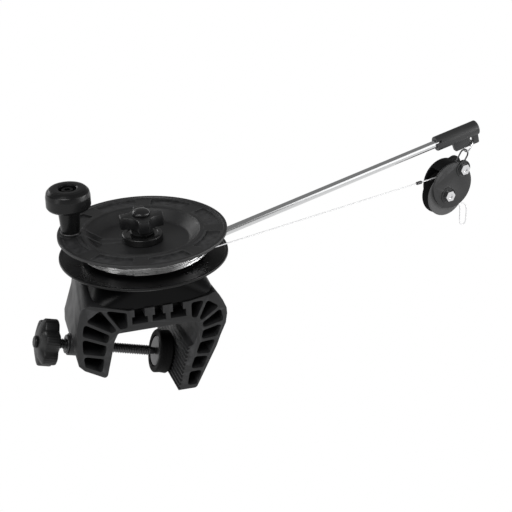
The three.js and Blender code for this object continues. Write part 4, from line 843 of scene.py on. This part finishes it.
def makeReelBase(size):
    # a squarish foot that turns into the round top by a smooth law
    bottom, depth, rings = clampSettings.seat + size.gap, clampSettings.halfDepth, []
    for row in range(size.rows + 1):
        rise = row / size.rows
        blend = rise ** size.easing
        power = size.footPower + (1 - size.footPower) * blend
        sides = (size.length, size.width)
        halfLength, halfWidth = ((side + (size.topDiameter - side) * blend) / 2 for side in sides)
        ring = []
        for side in range(size.sides):
            angle = 2 * math.pi * side / size.sides
            c, s = math.cos(angle), math.sin(angle)
            ring.append((halfLength * math.copysign(abs(c) ** power, c) + size.shift * (1 - blend),
                         halfWidth * math.copysign(abs(s) ** power, s), bottom + (size.top - bottom) * rise))
        rings.append(ring)
    base = narrowed(ringedPiece("reelBase", rings), clampSettings)
    bossStart = size.boomStart - overrun
    shaped(base, [turnedPiece("boss", [
        (0, bossStart), (size.bossRadius, bossStart), (size.bossRadius, size.bossEnd, size.bossCorner),
        (0, size.bossEnd)], boomPlace, 64)], "UNION")
    under = outlinePiece("under", clampOutline(clampSettings), -depth - overrun, depth + overrun,
                         shift(0, 0, size.gap), upright=True)
    shaped(base, [narrowed(under, clampSettings)])
    slot = slotProfile(clampSettings, size.gap, bottom + overrun)
    foot = outlinePiece("foot", slot, -size.footHalf, size.footHalf, upright=True)
    shaped(foot, railTools(clampSettings, size.gap, bottom, 0))
    shaped(base, [foot], "UNION")
    spot, hole, seat, reach = size.boltSpot, size.boltHole, size.boltSeat, size.boltReach
    boltWay = [(0, -reach), (spot, -reach), (spot, -seat), (hole, -seat), (hole, seat), (spot, seat),
               (spot, reach), (0, reach)]
    shaped(base, [
        cylinder(size.boomHole, size.boomStart - size.gap, size.boomHoleEnd, boomPlace, 48),
        cylinder(size.spindleHole, 0, size.spindleHoleTop, None, 48),
        cylinder(size.headPocket, 0, size.headPocketTop, None, 6),
        turnedPiece("boltWay", boltWay, boomBoltPlace, 32)])
    edged(base, size.edge)
    finish(base, "hoodBlack", "black_plastic", "frame", "reel_base")


makeReelBase(baseSettings)
print("reel base made")


# Spool; each profile is a list of radius, height and corner
spoolSettings = Sizes(
    sides=160, ringTop=77.4, top=78.6,
    upperProfile=[
        (7.2, 64.5, 0.3), (44.5, 64.5, 3), (52.9, 75.0, 3), (79.1, 75.0, 0.5), (80.0, 76.0, 0.6),
        (80.0, 78.6, 0.9), (77.0, 78.6, 0.6), (76.4, 77.4, 0.3), (58.3, 77.4, 0.4), (57.2, 78.3, 0.4),
        (54.6, 78.3, 0.5), (52.9, 77.2, 1.2), (44.5, 68.3, 4), (7.2, 68.3, 0.3)],
    lowerProfile=[
        (7.2, 50.3, 0.3), (26.0, 50.3, 0.6), (26.0, 51.9, 0.8), (78.8, 51.9, 0.9), (80.0, 53.2, 0.9),
        (80.0, 55.3, 0.8), (77.6, 55.3, 0.7), (76.8, 54.5, 0.5), (46.0, 54.5, 1.2), (46.0, 64.2, 0.3),
        (42.5, 64.2, 0.3), (42.5, 54.5, 0.6), (13.0, 54.5, 0.6), (13.0, 64.2, 0.3), (7.2, 64.2, 0.3)],
    crankPadRadius=12.5, crankPadSink=1.2, padLimit=79.85, crankHole=3.3, toolBottom=60.0, toolTop=90.0,
    gusset=[(38.0, 67.3), (38.0, 68.75), (54.6, 78.6), (58.0, 78.6), (58.0, 76.4), (52.9, 76.4), (44.5, 67.3)],
    gussetHalf=1.1, gussetSpacing=13.0, edge=0.25,
    pocketCount=8, pocketMiddle=67.5, pocketWidth=13.0, pocketSweep=32.4, pocketDepth=1.6, pocketCorner=1.2,
)


def pocketOutline(size, heading):
    outer, inner = (size.pocketMiddle + side * size.pocketWidth / 2 for side in (1, -1))
    points = []
    for radius, sweep in ((outer, size.pocketSweep), (inner, -size.pocketSweep)):
        line = arc((0, 0), radius, heading - sweep / 2, sweep, 14)
        points += [(*line[0], size.pocketCorner), *line[1:-1], (*line[-1], size.pocketCorner)]
    return softened(points, 4, loop=True)


def makeFlanges(size):
    upper = turnedPiece("upperFlange", size.upperProfile, None, size.sides, loop=True)
    pad = cylinder(size.crankPadRadius, size.ringTop - size.crankPadSink, size.top, crankPlace, 64)
    shaped(pad, [cylinder(size.padLimit, size.toolBottom, size.toolTop, None, size.sides)], "INTERSECT")
    towardsCrank, adds = turnAbout("Z", stations.crankAngle), [pad]
    for middle in (-size.gussetSpacing / 2, size.gussetSpacing / 2):
        ends = (middle - size.gussetHalf, middle + size.gussetHalf)
        adds.append(outlinePiece("gusset", size.gusset, *ends, towardsCrank, upright=True))
    shaped(upper, adds, "UNION")
    headings = [stations.crankAngle + 360 * (i + 0.5) / size.pocketCount for i in range(size.pocketCount)]
    ends = (size.ringTop - size.pocketDepth, size.top + 2 * overrun)
    tools = [outlinePiece("pocket", pocketOutline(size, heading), *ends) for heading in headings]
    shaped(upper, tools + [cylinder(size.crankHole, size.toolBottom, size.toolTop, crankPlace, 32)])
    edged(upper, size.edge)
    finish(upper, "upperFlange", "black_plastic", "spool", "upper_flange")
    lower = turnedPiece("lowerFlange", size.lowerProfile, None, size.sides, loop=True)
    finish(lower, "rimBlack", "black_plastic", "spool", "lower_flange")


makeFlanges(spoolSettings)
print("spool flanges made")


# Wound wire
windingSettings = Sizes(
    coreProfile=[(46.4, 54.9), (56.0, 54.9, 0.8), (56.0, 73.8, 0.8), (52.9, 73.3), (46.4, 66.4)],
    bottom=58.4, top=73.6, outer=58.3, wireRadius=0.42, pitch=1.15, layers=3, layerStep=0.8, steps=84, seed=11,
    bottomStep=0.25, topStep=0.3, waves=4, waveSizes=(0.1, 0.42), wavePace=0.35, layerTurn=2.1, swell=0.16,
    swellPace=1.7, crossings=26, crossingLows=(59, 66), crossingHighs=(63, 73), crossingSweeps=(0.9, 2.6),
    crossingRise=0.3, crossingDip=1.1, looseStart=-112.0, looseSweep=178.0, looseSteps=60, looseLift=0.4,
    looseBulges=(2.0, 3.4, 4.8, 5.8, 5.2, 4.4, 3.2), looseHeight=65.4, looseDrop=1.1, looseClimb=1.5,
)


def onDrum(radius, angle, height):
    return (radius * math.cos(angle), radius * math.sin(angle), height)


def laidTurns(size, rng, layer):
    # one layer, wound up or down the drum with each turn wandering a little
    radius = size.outer - size.layerStep * (size.layers - 1 - layer)
    low, high = size.bottom + size.bottomStep * layer, size.top - size.topStep * layer
    turns, way = int((high - low) / size.pitch), 1 if layer % 2 == 0 else -1
    waves = [(rng.uniform(*size.waveSizes), rng.randint(1, 3), rng.uniform(0, 2 * math.pi))
             for _ in range(size.waves)]
    path = []
    for i in range(turns * size.steps + 1):
        turn = i / size.steps
        angle = 2 * math.pi * turn * way + layer * size.layerTurn
        pace = size.wavePace * turn
        drift = sum(most * math.sin(count * angle + phase + pace) for most, count, phase in waves)
        height = min(high, max(low, low + (high - low) * turn / turns + drift))
        path.append(onDrum(radius + size.swell * math.sin(2 * angle + size.swellPace * turn), angle, height))
    return path


def crossingTurn(size, start, sweep, low, high, radius):
    # part of a turn that climbs over the others and dives back under at both ends
    count = int(size.steps * sweep / (2 * math.pi)) + 8
    path = []
    for i in range(count + 1):
        share = i / count
        reach = radius - size.crossingDip * abs(2 * share - 1) ** 6
        climbed = share * share * (3 - 2 * share)
        path.append(onDrum(reach, start + sweep * share, low + (high - low) * climbed))
    return path


def looseTurn(size, order, most):
    # a turn that stands off the coil on the side towards the boom
    start, sweep = math.radians(size.looseStart), math.radians(size.looseSweep)
    path = []
    for i in range(size.looseSteps + 1):
        share = i / size.looseSteps
        reach = size.outer + size.looseLift + most * math.sin(math.pi * share) ** 2
        height = size.looseHeight - size.looseDrop * order + size.looseClimb * share
        path.append(onDrum(reach, start + sweep * share, height))
    return path


def makeWinding(size):
    rng = random.Random(size.seed)
    core = turnedPiece("woundCore", size.coreProfile, None, 96, loop=True)
    finish(core, "buriedSteel", "steel_line", "spool", "wound_core")
    paths = [laidTurns(size, rng, layer) for layer in range(size.layers)]
    for crossing in range(size.crossings):
        low, high = rng.uniform(*size.crossingLows), rng.uniform(*size.crossingHighs)
        if crossing % 2:
            low, high = high, low
        start, sweep = rng.uniform(0, 2 * math.pi), rng.uniform(*size.crossingSweeps)
        radius = size.outer + size.crossingRise * (1 + rng.random())
        paths.append(crossingTurn(size, start, sweep, low, high, radius))
    paths += [looseTurn(size, order, most) for order, most in enumerate(size.looseBulges)]
    winding = wirePiece("woundLine", paths, size.wireRadius, "wireSteel", 6)
    finish(winding, "wireSteel", "steel_line", "spool", "wound_line")


makeWinding(windingSettings)
print("winding made")


# Drag stack
dragSettings = Sizes(
    collarProfile=[
        (5.6, 70.5, 0.2), (15.3, 70.5, 0.2), (15.3, 68.6, 0.2), (19.3, 68.6, 0.8), (19.3, 75.0, 1.1),
        (17.9, 75.6, 0.7), (15.1, 75.6, 0.8), (14.5, 75.1, 0.5), (5.6, 75.1, 0.3)],
    starBottom=82.3, starTop=94.3, starTurn=-6.0, lobeReach=20.5, lobeHalf=5.0, lobeShoulder=19.5,
    tipRound=1.4, hollow=5.6, hollowSteps=12, edge=1.0,
    neckRows=[(10.7, 75.9, 0), (11.5, 76.7, 0), (11.5, 77.5, 0), (10.2, 78.1, 1), (10.2, 82.7, 1)],
    neckRibs=28, neckRibDepth=0.45, insertBore=8.43, toolBottom=60.0, toolTop=100.0,
    domeBase=[(0, 94.6), (8.1, 94.6), (8.5, 95.0)], domeCentre=95.85, domeRadius=8.5, domeRise=3.75,
    domeSteps=12,
)


def makeStar(size):
    lobe, hollow, shoulder, corners = size.lobeHalf, size.hollow, size.lobeShoulder, []
    for i in range(4):
        turn = math.radians(90 * i + size.starTurn)
        c, s = math.cos(turn), math.sin(turn)
        arm = [(size.lobeReach, -lobe, size.tipRound), (size.lobeReach, lobe, size.tipRound)]
        for step in range(1, size.hollowSteps):
            t = step / size.hollowSteps
            first, middle, last = (1 - t) ** 2, hollow * 2 * t * (1 - t), t * t
            arm.append((shoulder * first + middle + lobe * last, lobe * first + middle + shoulder * last, 0))
        corners += [(x * c - y * s, x * s + y * c, soft) for x, y, soft in arm]
    star = outlinePiece("dragStar", softened(corners, 5, loop=True), size.starBottom, size.starTop)
    edged(star, size.edge, 3, 50)

    def neckReach(angle, radius, share):
        return radius - size.neckRibDepth * share * (0.5 + 0.5 * math.cos(size.neckRibs * angle))

    shaped(star, [wavyPiece("neck", size.neckRows, 8 * size.neckRibs, neckReach)], "UNION")
    shaped(star, [cylinder(size.insertBore, size.toolBottom, size.toolTop, None, 6)])
    shade(star.data, 40)
    finish(star, "smoothBlack", "black_plastic", "drag_star", "drag_knob")


def makeDrag(size):
    collar = turnedPiece("dragCollar", size.collarProfile, None, 96, loop=True, steps=6)
    finish(collar, "glossBlack", "gloss_black_plastic", "drag_stack", "drag_collar")
    makeStar(size)
    turns = [math.pi / 2 * i / size.domeSteps for i in range(size.domeSteps + 1)]
    centre, radius, rise = size.domeCentre, size.domeRadius, size.domeRise
    dome = [(radius * math.cos(turn), centre + rise * math.sin(turn)) for turn in turns]
    domeNut = turnedPiece("domeNut", size.domeBase + dome, None, 64)
    finish(domeNut, "glossBlack", "gloss_black_plastic", "drag_star", "drag_dome_nut")


makeDrag(dragSettings)
print("drag made")


# Crank knob
crankSettings = Sizes(
    knobProfile=[
        (3.4, 80.7, 0.2), (8.7, 80.7, 0.7), (9.0, 82.7, 1), (10.5, 101.7, 3), (12.0, 104.7, 1.4),
        (19.7, 104.7, 2.0), (21.2, 107.1, 2.0), (21.2, 116.7, 3), (20.3, 121.1, 3), (17.4, 124.0, 3),
        (13.7, 124.7, 2.4),
        (9.9, 124.6, 1.0), (8.6, 123.9, 0.5), (8.5, 123.1, 0.4), (8.0, 118.7, 0.6), (3.4, 118.7, 0.2)],
    washerProfile=[(3.4, 78.9, 0.2), (9.75, 78.9, 0.4), (9.75, 80.4, 0.5), (3.4, 80.4, 0.2)],
    boltProfile=[(0, 72.1), (3.0, 72.1, 0.5), (3.0, 119.0), (5.5, 119.0, 0.3), (5.5, 123.0, 0.7), (0, 123.0)],
    socketRadius=3.1754, socketBottom=121.0, socketTop=125.0,
)


def makeCrank(size):
    knob = turnedPiece("crankKnob", size.knobProfile, crankPlace, 96, loop=True, steps=6)
    finish(knob, "crankCap", "gloss_black_plastic", "crank_handle", "crank_knob")
    washer = turnedPiece("crankWasher", size.washerProfile, crankPlace, 64, loop=True)
    finish(washer, "dullSteelPlate", "stainless", "spool", "crank_washer")
    bolt = turnedPiece("crankBolt", size.boltProfile, crankPlace, 48)
    shaped(bolt, [cylinder(size.socketRadius, size.socketBottom, size.socketTop, crankPlace, 6)])
    shade(bolt.data)
    finish(bolt, "blackOxideSteel", "dark_steel", "spool", "crank_bolt")


makeCrank(crankSettings)
print("crank made")


# Clamp screw, knob and pad; starts are along the tilted axis, and each profile counts from its piece's start
screwSettings = Sizes(
    start=-32.8105, threadEnd=68.0054, root=4.1, crest=5.0, pitch=2.4, sides=40, rowsPerPitch=8, fade=1.5,
    ridgeSlope=2.6, ridgeRound=0.8, tip=[(3.5, 68.0054), (3.5, 72.4054), (2.9, 73.0054)],
    knobStart=-44.2105, lobes=6, flute=4.6, knobRibs=60, knobRibDepth=0.35,
    # radius, height, then how much of the lobes' valleys and of the grip ribs the row has
    knobRows=[
        (6.2, 0.05, (0, 0)), (6.7, 0.1, (0, 0)), (15.1, 1.1, (0.15, 0)), (20.6, 2.9, (0.8, 0)),
        (22.0, 3.4, (0.95, 0)), (23.3, 4.0, (1, 0.3)), (24.0, 5.4, (1, 1)), (24.0, 15.8, (1, 1)),
        (23.4, 17.1, (1, 0.3)), (22.0, 17.8, (0.9, 0)), (18.0, 17.8, (0.5, 0)), (11.5, 17.8, (0.05, 0)),
        (10.3, 18.3, (0, 0)), (10.3, 20.1, (0, 0)), (9.7, 20.8, (0, 0)), (8.7, 21.1, (0, 0)),
        (5.3, 21.1, (0, 0)), (5.3, 11.1, (0, 0))],
    capStart=-47.1105,
    capProfile=[(0, 0), (4.5, 0, 0.4), (5.5, 0.5, 0.4), (5.9, 1.4, 0.4), (5.9, 2.6, 0.2), (0, 2.6)],
    padStart=73.2054,
    padProfile=[
        (0, 3.4), (15.3, 3.4, 0.2), (15.3, 0, 0.8), (20.2, 0, 0.8), (21.0, 1.0, 1.2), (20.5, 6.5, 4),
        (21.0, 11.8, 1.2), (19.8, 13.0, 0.9), (17.0, 13.0, 0.3), (16.6, 12.5, 0.3), (15.8, 12.5, 0.3),
        (15.4, 13.0, 0.3), (12.0, 13.0, 0.3), (11.6, 12.5, 0.3), (10.8, 12.5, 0.3), (10.4, 13.0, 0.3),
        (0, 13.0)],
    plateStart=73.3054,
    plateProfile=[(0, 0), (13.0, 0, 0.6), (14.2, 0.6, 0.6), (15.0, 1.5, 0.5), (15.0, 3.0, 0.3), (0, 3.0)],
    nutStart=-16.0105,
    nutProfile=[
        (5.3, 0, 0.4), (9.0, 0, 0.5), (9.0, 2.2, 0.3), (7.0, 2.2, 0.3), (7.0, 22.2, 0.4), (5.3, 22.2, 0.4)],
)


def makeScrew(size):
    # a helical thread: the radius follows the height less the turn's share of the pitch
    start, end = size.start, size.threadEnd
    count = int((end - start) / size.pitch * size.rowsPerPitch)
    heights = [start + (end - start) * row / count for row in range(count + 1)]
    rows = [(size.root, height, (height, min(1, (height - start) / size.fade, (end - height) / size.fade)))
            for height in heights]

    def threadReach(angle, radius, share):
        height, depth = share
        phase = (height / size.pitch - angle / (2 * math.pi)) % 1
        ridge = max(0.0, 1 - abs(phase - 0.5) * size.ridgeSlope) ** size.ridgeRound
        return radius + (size.crest - size.root) * ridge * max(0, depth)

    rows += [(radius, height, (height, 0)) for radius, height in size.tip]
    screw = wavyPiece("clampScrew", rows, size.sides, threadReach, screwPlace)
    shade(screw.data, 50)
    finish(screw, "darkSteel", "dark_steel", "clamp_handle", "clamp_screw")


def makeClampKnob(size):
    # six lobes with deep valleys, a coned outer face round a flat hub, and fine grip ribs on the lobes
    def knobReach(angle, reach, shares):
        valley = abs(math.sin(size.lobes * angle / 2)) ** 3
        rib = size.knobRibDepth * (0.5 - 0.5 * math.cos(size.knobRibs * angle))
        return reach - size.flute * valley * shares[0] - rib * shares[1] * (1 - valley)

    knob = wavyPiece("clampKnob", size.knobRows, 360, knobReach, screwPlace @ shift(0, 0, size.knobStart))
    shade(knob.data, 40)
    finish(knob, "knobBlack", "black_plastic", "clamp_handle", "clamp_knob")


def makeScrewParts(size):
    # name, profile, start, sides, ring or not, then what finish needs
    parts = [
        ("clampKnobCap", size.capProfile, size.capStart, 64, False,
         "knobBlack", "gloss_black_plastic", "clamp_handle", "clamp_knob_cap"),
        ("pressurePad", size.padProfile, size.padStart, 96, False,
         "blackRubber", "black_rubber", "clamp_pad", "pressure_pad"),
        ("padPlate", size.plateProfile, size.plateStart, 72, False,
         "dullSteelPlate", "dark_steel", "clamp_pad", "pad_plate"),
        ("clampNut", size.nutProfile, size.nutStart, 64, True,
         "darkSteel", "dark_steel", "frame", "clamp_nut"),
    ]
    for name, profile, start, sides, loop, *wanted in parts:
        finish(turnedPiece(name, profile, screwPlace @ shift(0, 0, start), sides, loop), *wanted)


makeScrew(screwSettings)
makeClampKnob(screwSettings)
makeScrewParts(screwSettings)
print("clamp screw, knob and pad made")


# Boom and its tip cap
boomSettings = Sizes(
    rodProfile=[(0, 15.0), (4.0, 15.0, 0.5), (4.0, 387.0, 0.5), (0, 387.0)], boltHole=2.3, toolHalf=8.0,
    capStart=339.5, capEnd=388.0, capProfile=[(0, 339.5), (7.5, 339.5, 0.8), (7.5, 388.0, 0.8), (0, 388.0)],
    capBore=4.3, keel=[(0, 357.0), (16.3, 360.0, 1.4), (16.3, 388.0, 1.6), (0, 388.0)], keelHalf=2.0,
    slotRadius=1.9, slotLow=12.2, slotHigh=8.8, slotAt=380.0, splitHalf=1.0, splitReach=12.0, splitEnd=344.0,
    splitAngle=-120.0, edge=0.45,
)


def makeBoom(size):
    rod = turnedPiece("boomRod", size.rodProfile, boomPlace, 64)
    shaped(rod, [cylinder(size.boltHole, -size.toolHalf, size.toolHalf, boomBoltPlace, 24)])
    shade(rod.data, 40)
    finish(rod, "polishedRod", "stainless", "frame", "boom")


def makeTipCap(size):
    cap = turnedPiece("tipCap", size.capProfile, boomPlace, 72)
    keel = softened(size.keel, 5, loop=True)
    shaped(cap, [outlinePiece("keel", keel, -size.keelHalf, size.keelHalf, boomPlace, upright=True)], "UNION")
    low, high = (size.slotLow, size.slotAt), (size.slotHigh, size.slotAt)
    window = arc(low, size.slotRadius, -90, 180, 12) + arc(high, size.slotRadius, 90, 180, 12)
    wide, reach, start = size.splitHalf, size.splitReach, size.capStart - overrun
    splitPlace = boomPlace @ turnAbout("Z", size.splitAngle)
    split = [(0, -wide), (reach, -wide), (reach, wide), (0, wide)]
    shaped(cap, [
        outlinePiece("window", window, -size.toolHalf, size.toolHalf, boomPlace, upright=True),
        cylinder(size.capBore, start, size.capEnd + overrun, boomPlace, 64),
        outlinePiece("split", split, start, size.splitEnd, splitPlace)])
    edged(cap, size.edge, 3)
    finish(cap, "tipCap", "black_plastic", "frame", "boom_tip_cap")


makeBoom(boomSettings)
makeTipCap(boomSettings)
print("boom made")


# Hanging pulley
pulleySettings = Sizes(
    plateRadius=23.95, plateInner=6.75, plateOuter=8.75, plateShift=5.5, plateRise=9.3, earRadius=8.8,
    bossProfile=[(0, 7.25), (8.6, 7.25), (8.6, 9.65, 0.5), (7.6, 9.65, 0.3), (7.6, 8.75, 0.2), (0, 8.75)],
    boltHole=3.3, toolHalf=20.0, edge=0.4, gap=0.3,
    guardOuter=23.9, guardInner=22.15, guardStart=72.0, guardSweep=56.0,
    sheaveHalf=[
        (5.1, 6.35, 0.3), (8.5, 6.35, 0.5), (8.5, 5.6, 0.5), (21.7, 5.6, 0.5), (22.7, 5.0, 0.5),
        (22.7, 4.5, 0.4), (18.25, 1.0, 1.2)],
    # name, finish, slot and node, then where its middle is, its turn, length, width, wire radius and arc steps
    hangers=[
        ("keelRing", "brightSteel", "stainless", "keel_ring", 6.3, 180, 14.2, 10.0, 0.8, 16),
        ("hangerLink", "darkSteel", "dark_steel", "hanger_link", 22.5, 90, 25.2, 11.8, 0.8, 20)],
    hangerSides=14, headSize=10.0,
    shankProfile=[(0, -14.35), (2.5, -14.35), (3.0, -13.75), (3.0, 9.55), (0, 9.55)],
    # name, finish, slot, side, place of the middle, height, dimple and its depth, then the nodes
    fasteners=[
        ("pulleyBolts", "brightSteel", "stainless", 1, 11.05, 4.0, 5.0, 1.0, ("axle_bolt", "top_bolt")),
        ("pulleyNuts", "zincPlate", "zinc", -1, -11.55, 5.0, 6.6, 4.9, ("axle_nut", "top_nut"))],
)
pulleyHoles = (stations.axle, stations.topBolt)


def plateOutline(size):
    # the plate's round and the ear round the top bolt, joined where their edges meet
    centre = Vector((stations.axle[0] + size.plateShift, stations.axle[1] + size.plateRise))
    ear, big, small = Vector(stations.topBolt), size.plateRadius, size.earRadius
    apart = ear - centre
    along = (apart.length ** 2 + big ** 2 - small ** 2) / (2 * apart.length)
    heading = math.degrees(math.atan2(apart.y, apart.x))
    shares = (along / big, (apart.length - along) / small)
    opening, earOpening = (math.degrees(math.acos(share)) for share in shares)
    earArc = arc(ear, small, heading + 180 + earOpening, 360 - 2 * earOpening, 20)
    return arc(centre, big, heading + opening, 360 - 2 * opening, 72) + earArc[1:-1], centre


def makePlate(size, name, low, high, adds, finishName, node):
    outline, _ = plateOutline(size)
    plate = outlinePiece(name, outline, low, high, pulleyPlace, upright=True)
    shaped(plate, adds, "UNION")
    half = size.toolHalf
    shaped(plate, [cylinder(size.boltHole, -half, half, acrossPulley(place)) for place in pulleyHoles])
    edged(plate, size.edge, 3)
    finish(plate, finishName, "black_plastic", "pulley", node)


def makePlates(size):
    inner, outer, centre = size.plateInner, size.plateOuter, plateOutline(size)[1]
    bosses = [turnedPiece("boss", size.bossProfile, acrossPulley(place), 64) for place in pulleyHoles]
    makePlate(size, "pulleyFrontPlate", -outer, -inner, bosses, "plateBlack", "pulley_front_plate")
    wall = (arc(centre, size.guardOuter, size.guardStart, size.guardSweep, 24)
            + arc(centre, size.guardInner, size.guardStart, size.guardSweep, 24)[::-1])
    guard = outlinePiece("guard", wall, size.gap - inner, size.gap + inner, pulleyPlace, upright=True)
    makePlate(size, "pulleyBackPlate", inner, outer, [guard], "backPlate", "pulley_back_plate")


def makeSheave(size):
    profile = [(x, -z, corner) for x, z, corner in size.sheaveHalf] + size.sheaveHalf[::-1]
    sheave = turnedPiece("pulleySheave", profile, acrossPulley(stations.axle), 96, loop=True)
    finish(sheave, "sheaveDark", "black_plastic", "sheave", "sheave")


def makeHangers(size):
    for name, finishName, slotName, node, middle, turn, length, width, wire, steps in size.hangers:
        radius = width / 2 - wire
        reach = length / 2 - wire - radius
        place = leanPlace @ shift(middle, 0, 0) @ turnAbout("X", turn)
        path = arc((reach, 0), radius, -90, 180, steps) + arc((-reach, 0), radius, 90, 180, steps)
        path = [place @ Vector((x, y, 0)) for x, y in path]
        hanger = wirePiece(name, [path], wire, finishName, size.hangerSides, closedPaths=True)
        finish(hanger, finishName, slotName, "pulley", node)


def makeFasteners(size):
    for name, finishName, slotName, side, middle, height, dimple, dimpleDepth, nodes in size.fasteners:
        spots = [acrossPulley(place) @ Vector((0, 0, middle)) for place in pulleyHoles]
        turn = (pulleyPlace @ turnAbout("X", 90 * side)).to_euler("XYZ")
        heads = grown(name, hexagonHeads, spots, [], {
            "Across Flats": size.headSize * milli, "Height": height * milli, "Dimple": dimple * milli,
            "Dimple Depth": dimpleDepth * milli, "Turn": turn, "Finish": bpy.data.materials[finishName]})
        if side > 0:
            profile = size.shankProfile
            shanks = [turnedPiece("shank", profile, acrossPulley(place), 32) for place in pulleyHoles]
            shaped(heads, shanks, "UNION", "EXACT")
        shade(heads.data, 30)
        finish(heads, finishName, slotName, "pulley", *nodes)


makePlates(pulleySettings)
makeSheave(pulleySettings)
makeHangers(pulleySettings)
makeFasteners(pulleySettings)
print("pulley made")


# CAD nodes that stay, with their finishes
keptFinishes = {
    "foot_screw_front": "zincPlate", "foot_screw_rear": "zincPlate", "spindle": "brightSteel",
    "brake_disc": "frictionLining", "spool_bushing": "bearingBronze", "thrust_washer": "brightSteel",
    "drag_insert": "zincPlate", "boom_bolt": "zincPlate", "boom_nut": "zincPlate", "crank_nut": "zincPlate",
    "sheave_bush": "bearingBronze", "top_spacer": "brightSteel",
}
for nodeName, finishName in keptFinishes.items():
    paint(cadNodes[nodeName], finishName)
print("kept nodes painted")


# Studio, in metres
studioSettings = Sizes(
    floorHeight=-0.0716, floorHalf=6.0, floorGlow=1.0, floorReflected=0.76, worldStrength=0.22,
    # name, place, target, width, height and power
    lights=[
        ("keyLight", (-0.9, -1.1, 1.5), (0.05, 0, 0.03), 1.2, 0.8, 17.0),
        ("leftLight", (-1.5, -0.55, 0.4), (0, 0, 0.03), 0.45, 1.1, 3.0),
        ("rightLight", (1.55, -1.3, 0.95), (0.15, 0, 0.06), 1.1, 1.7, 6.5),
        ("farRightLight", (2.0, -0.6, 0.3), (0, 0, 0.05), 1.3, 0.5, 17.0),
        ("backLight", (-0.85, 1.7, 0.75), (0.0, 0, 0.05), 1.2, 0.6, 5.2),
    ],
)


def makeFloor(size):
    # white to look at, but dimmer in what the plastic and the steel reflect, as a lit sweep is
    half, height = size.floorHalf, size.floorHeight
    mesh = bpy.data.meshes.new("studioFloor")
    corners = [(-half, -half, height), (half, -half, height), (half, half, height), (-half, half, height)]
    mesh.from_pydata(corners, [], [(0, 1, 2, 3)])
    floor = bpy.data.objects.new("studioFloor", mesh)
    scene.collection.objects.link(floor)
    material = bpy.data.materials.new("paleFloor")
    material.use_nodes = True
    tree = material.node_tree
    mixed = addNode(tree, "ShaderNodeMixShader", {
        0: addNode(tree, "ShaderNodeLightPath").outputs["Is Camera Ray"],
        1: addNode(tree, "ShaderNodeEmission", {"Strength": size.floorReflected}),
        2: addNode(tree, "ShaderNodeEmission", {"Strength": size.floorGlow})})
    tree.nodes.remove(tree.nodes["Principled BSDF"])
    feed(tree, tree.nodes["Material Output"], {"Surface": mixed})
    mesh.materials.append(material)


def makeLights(size):
    world = bpy.data.worlds.new("studioWorld")
    world.use_nodes = True
    tree = world.node_tree
    feed(tree, tree.nodes["Background"], {"Color": (1, 1, 1, 1), "Strength": size.worldStrength})
    scene.world = world
    for name, place, target, width, tall, power in size.lights:
        data = bpy.data.lights.new(name, "AREA")
        data.shape, data.size, data.size_y, data.energy = "RECTANGLE", width, tall, power
        light = bpy.data.objects.new(name, data)
        scene.collection.objects.link(light)
        light.location = place
        light.rotation_euler = (Vector(target) - Vector(place)).to_track_quat("-Z", "Y").to_euler()
    scene.view_settings.view_transform = "Standard"
    scene.view_settings.look = "None"


makeFloor(studioSettings)
makeLights(studioSettings)
print("studio lit")
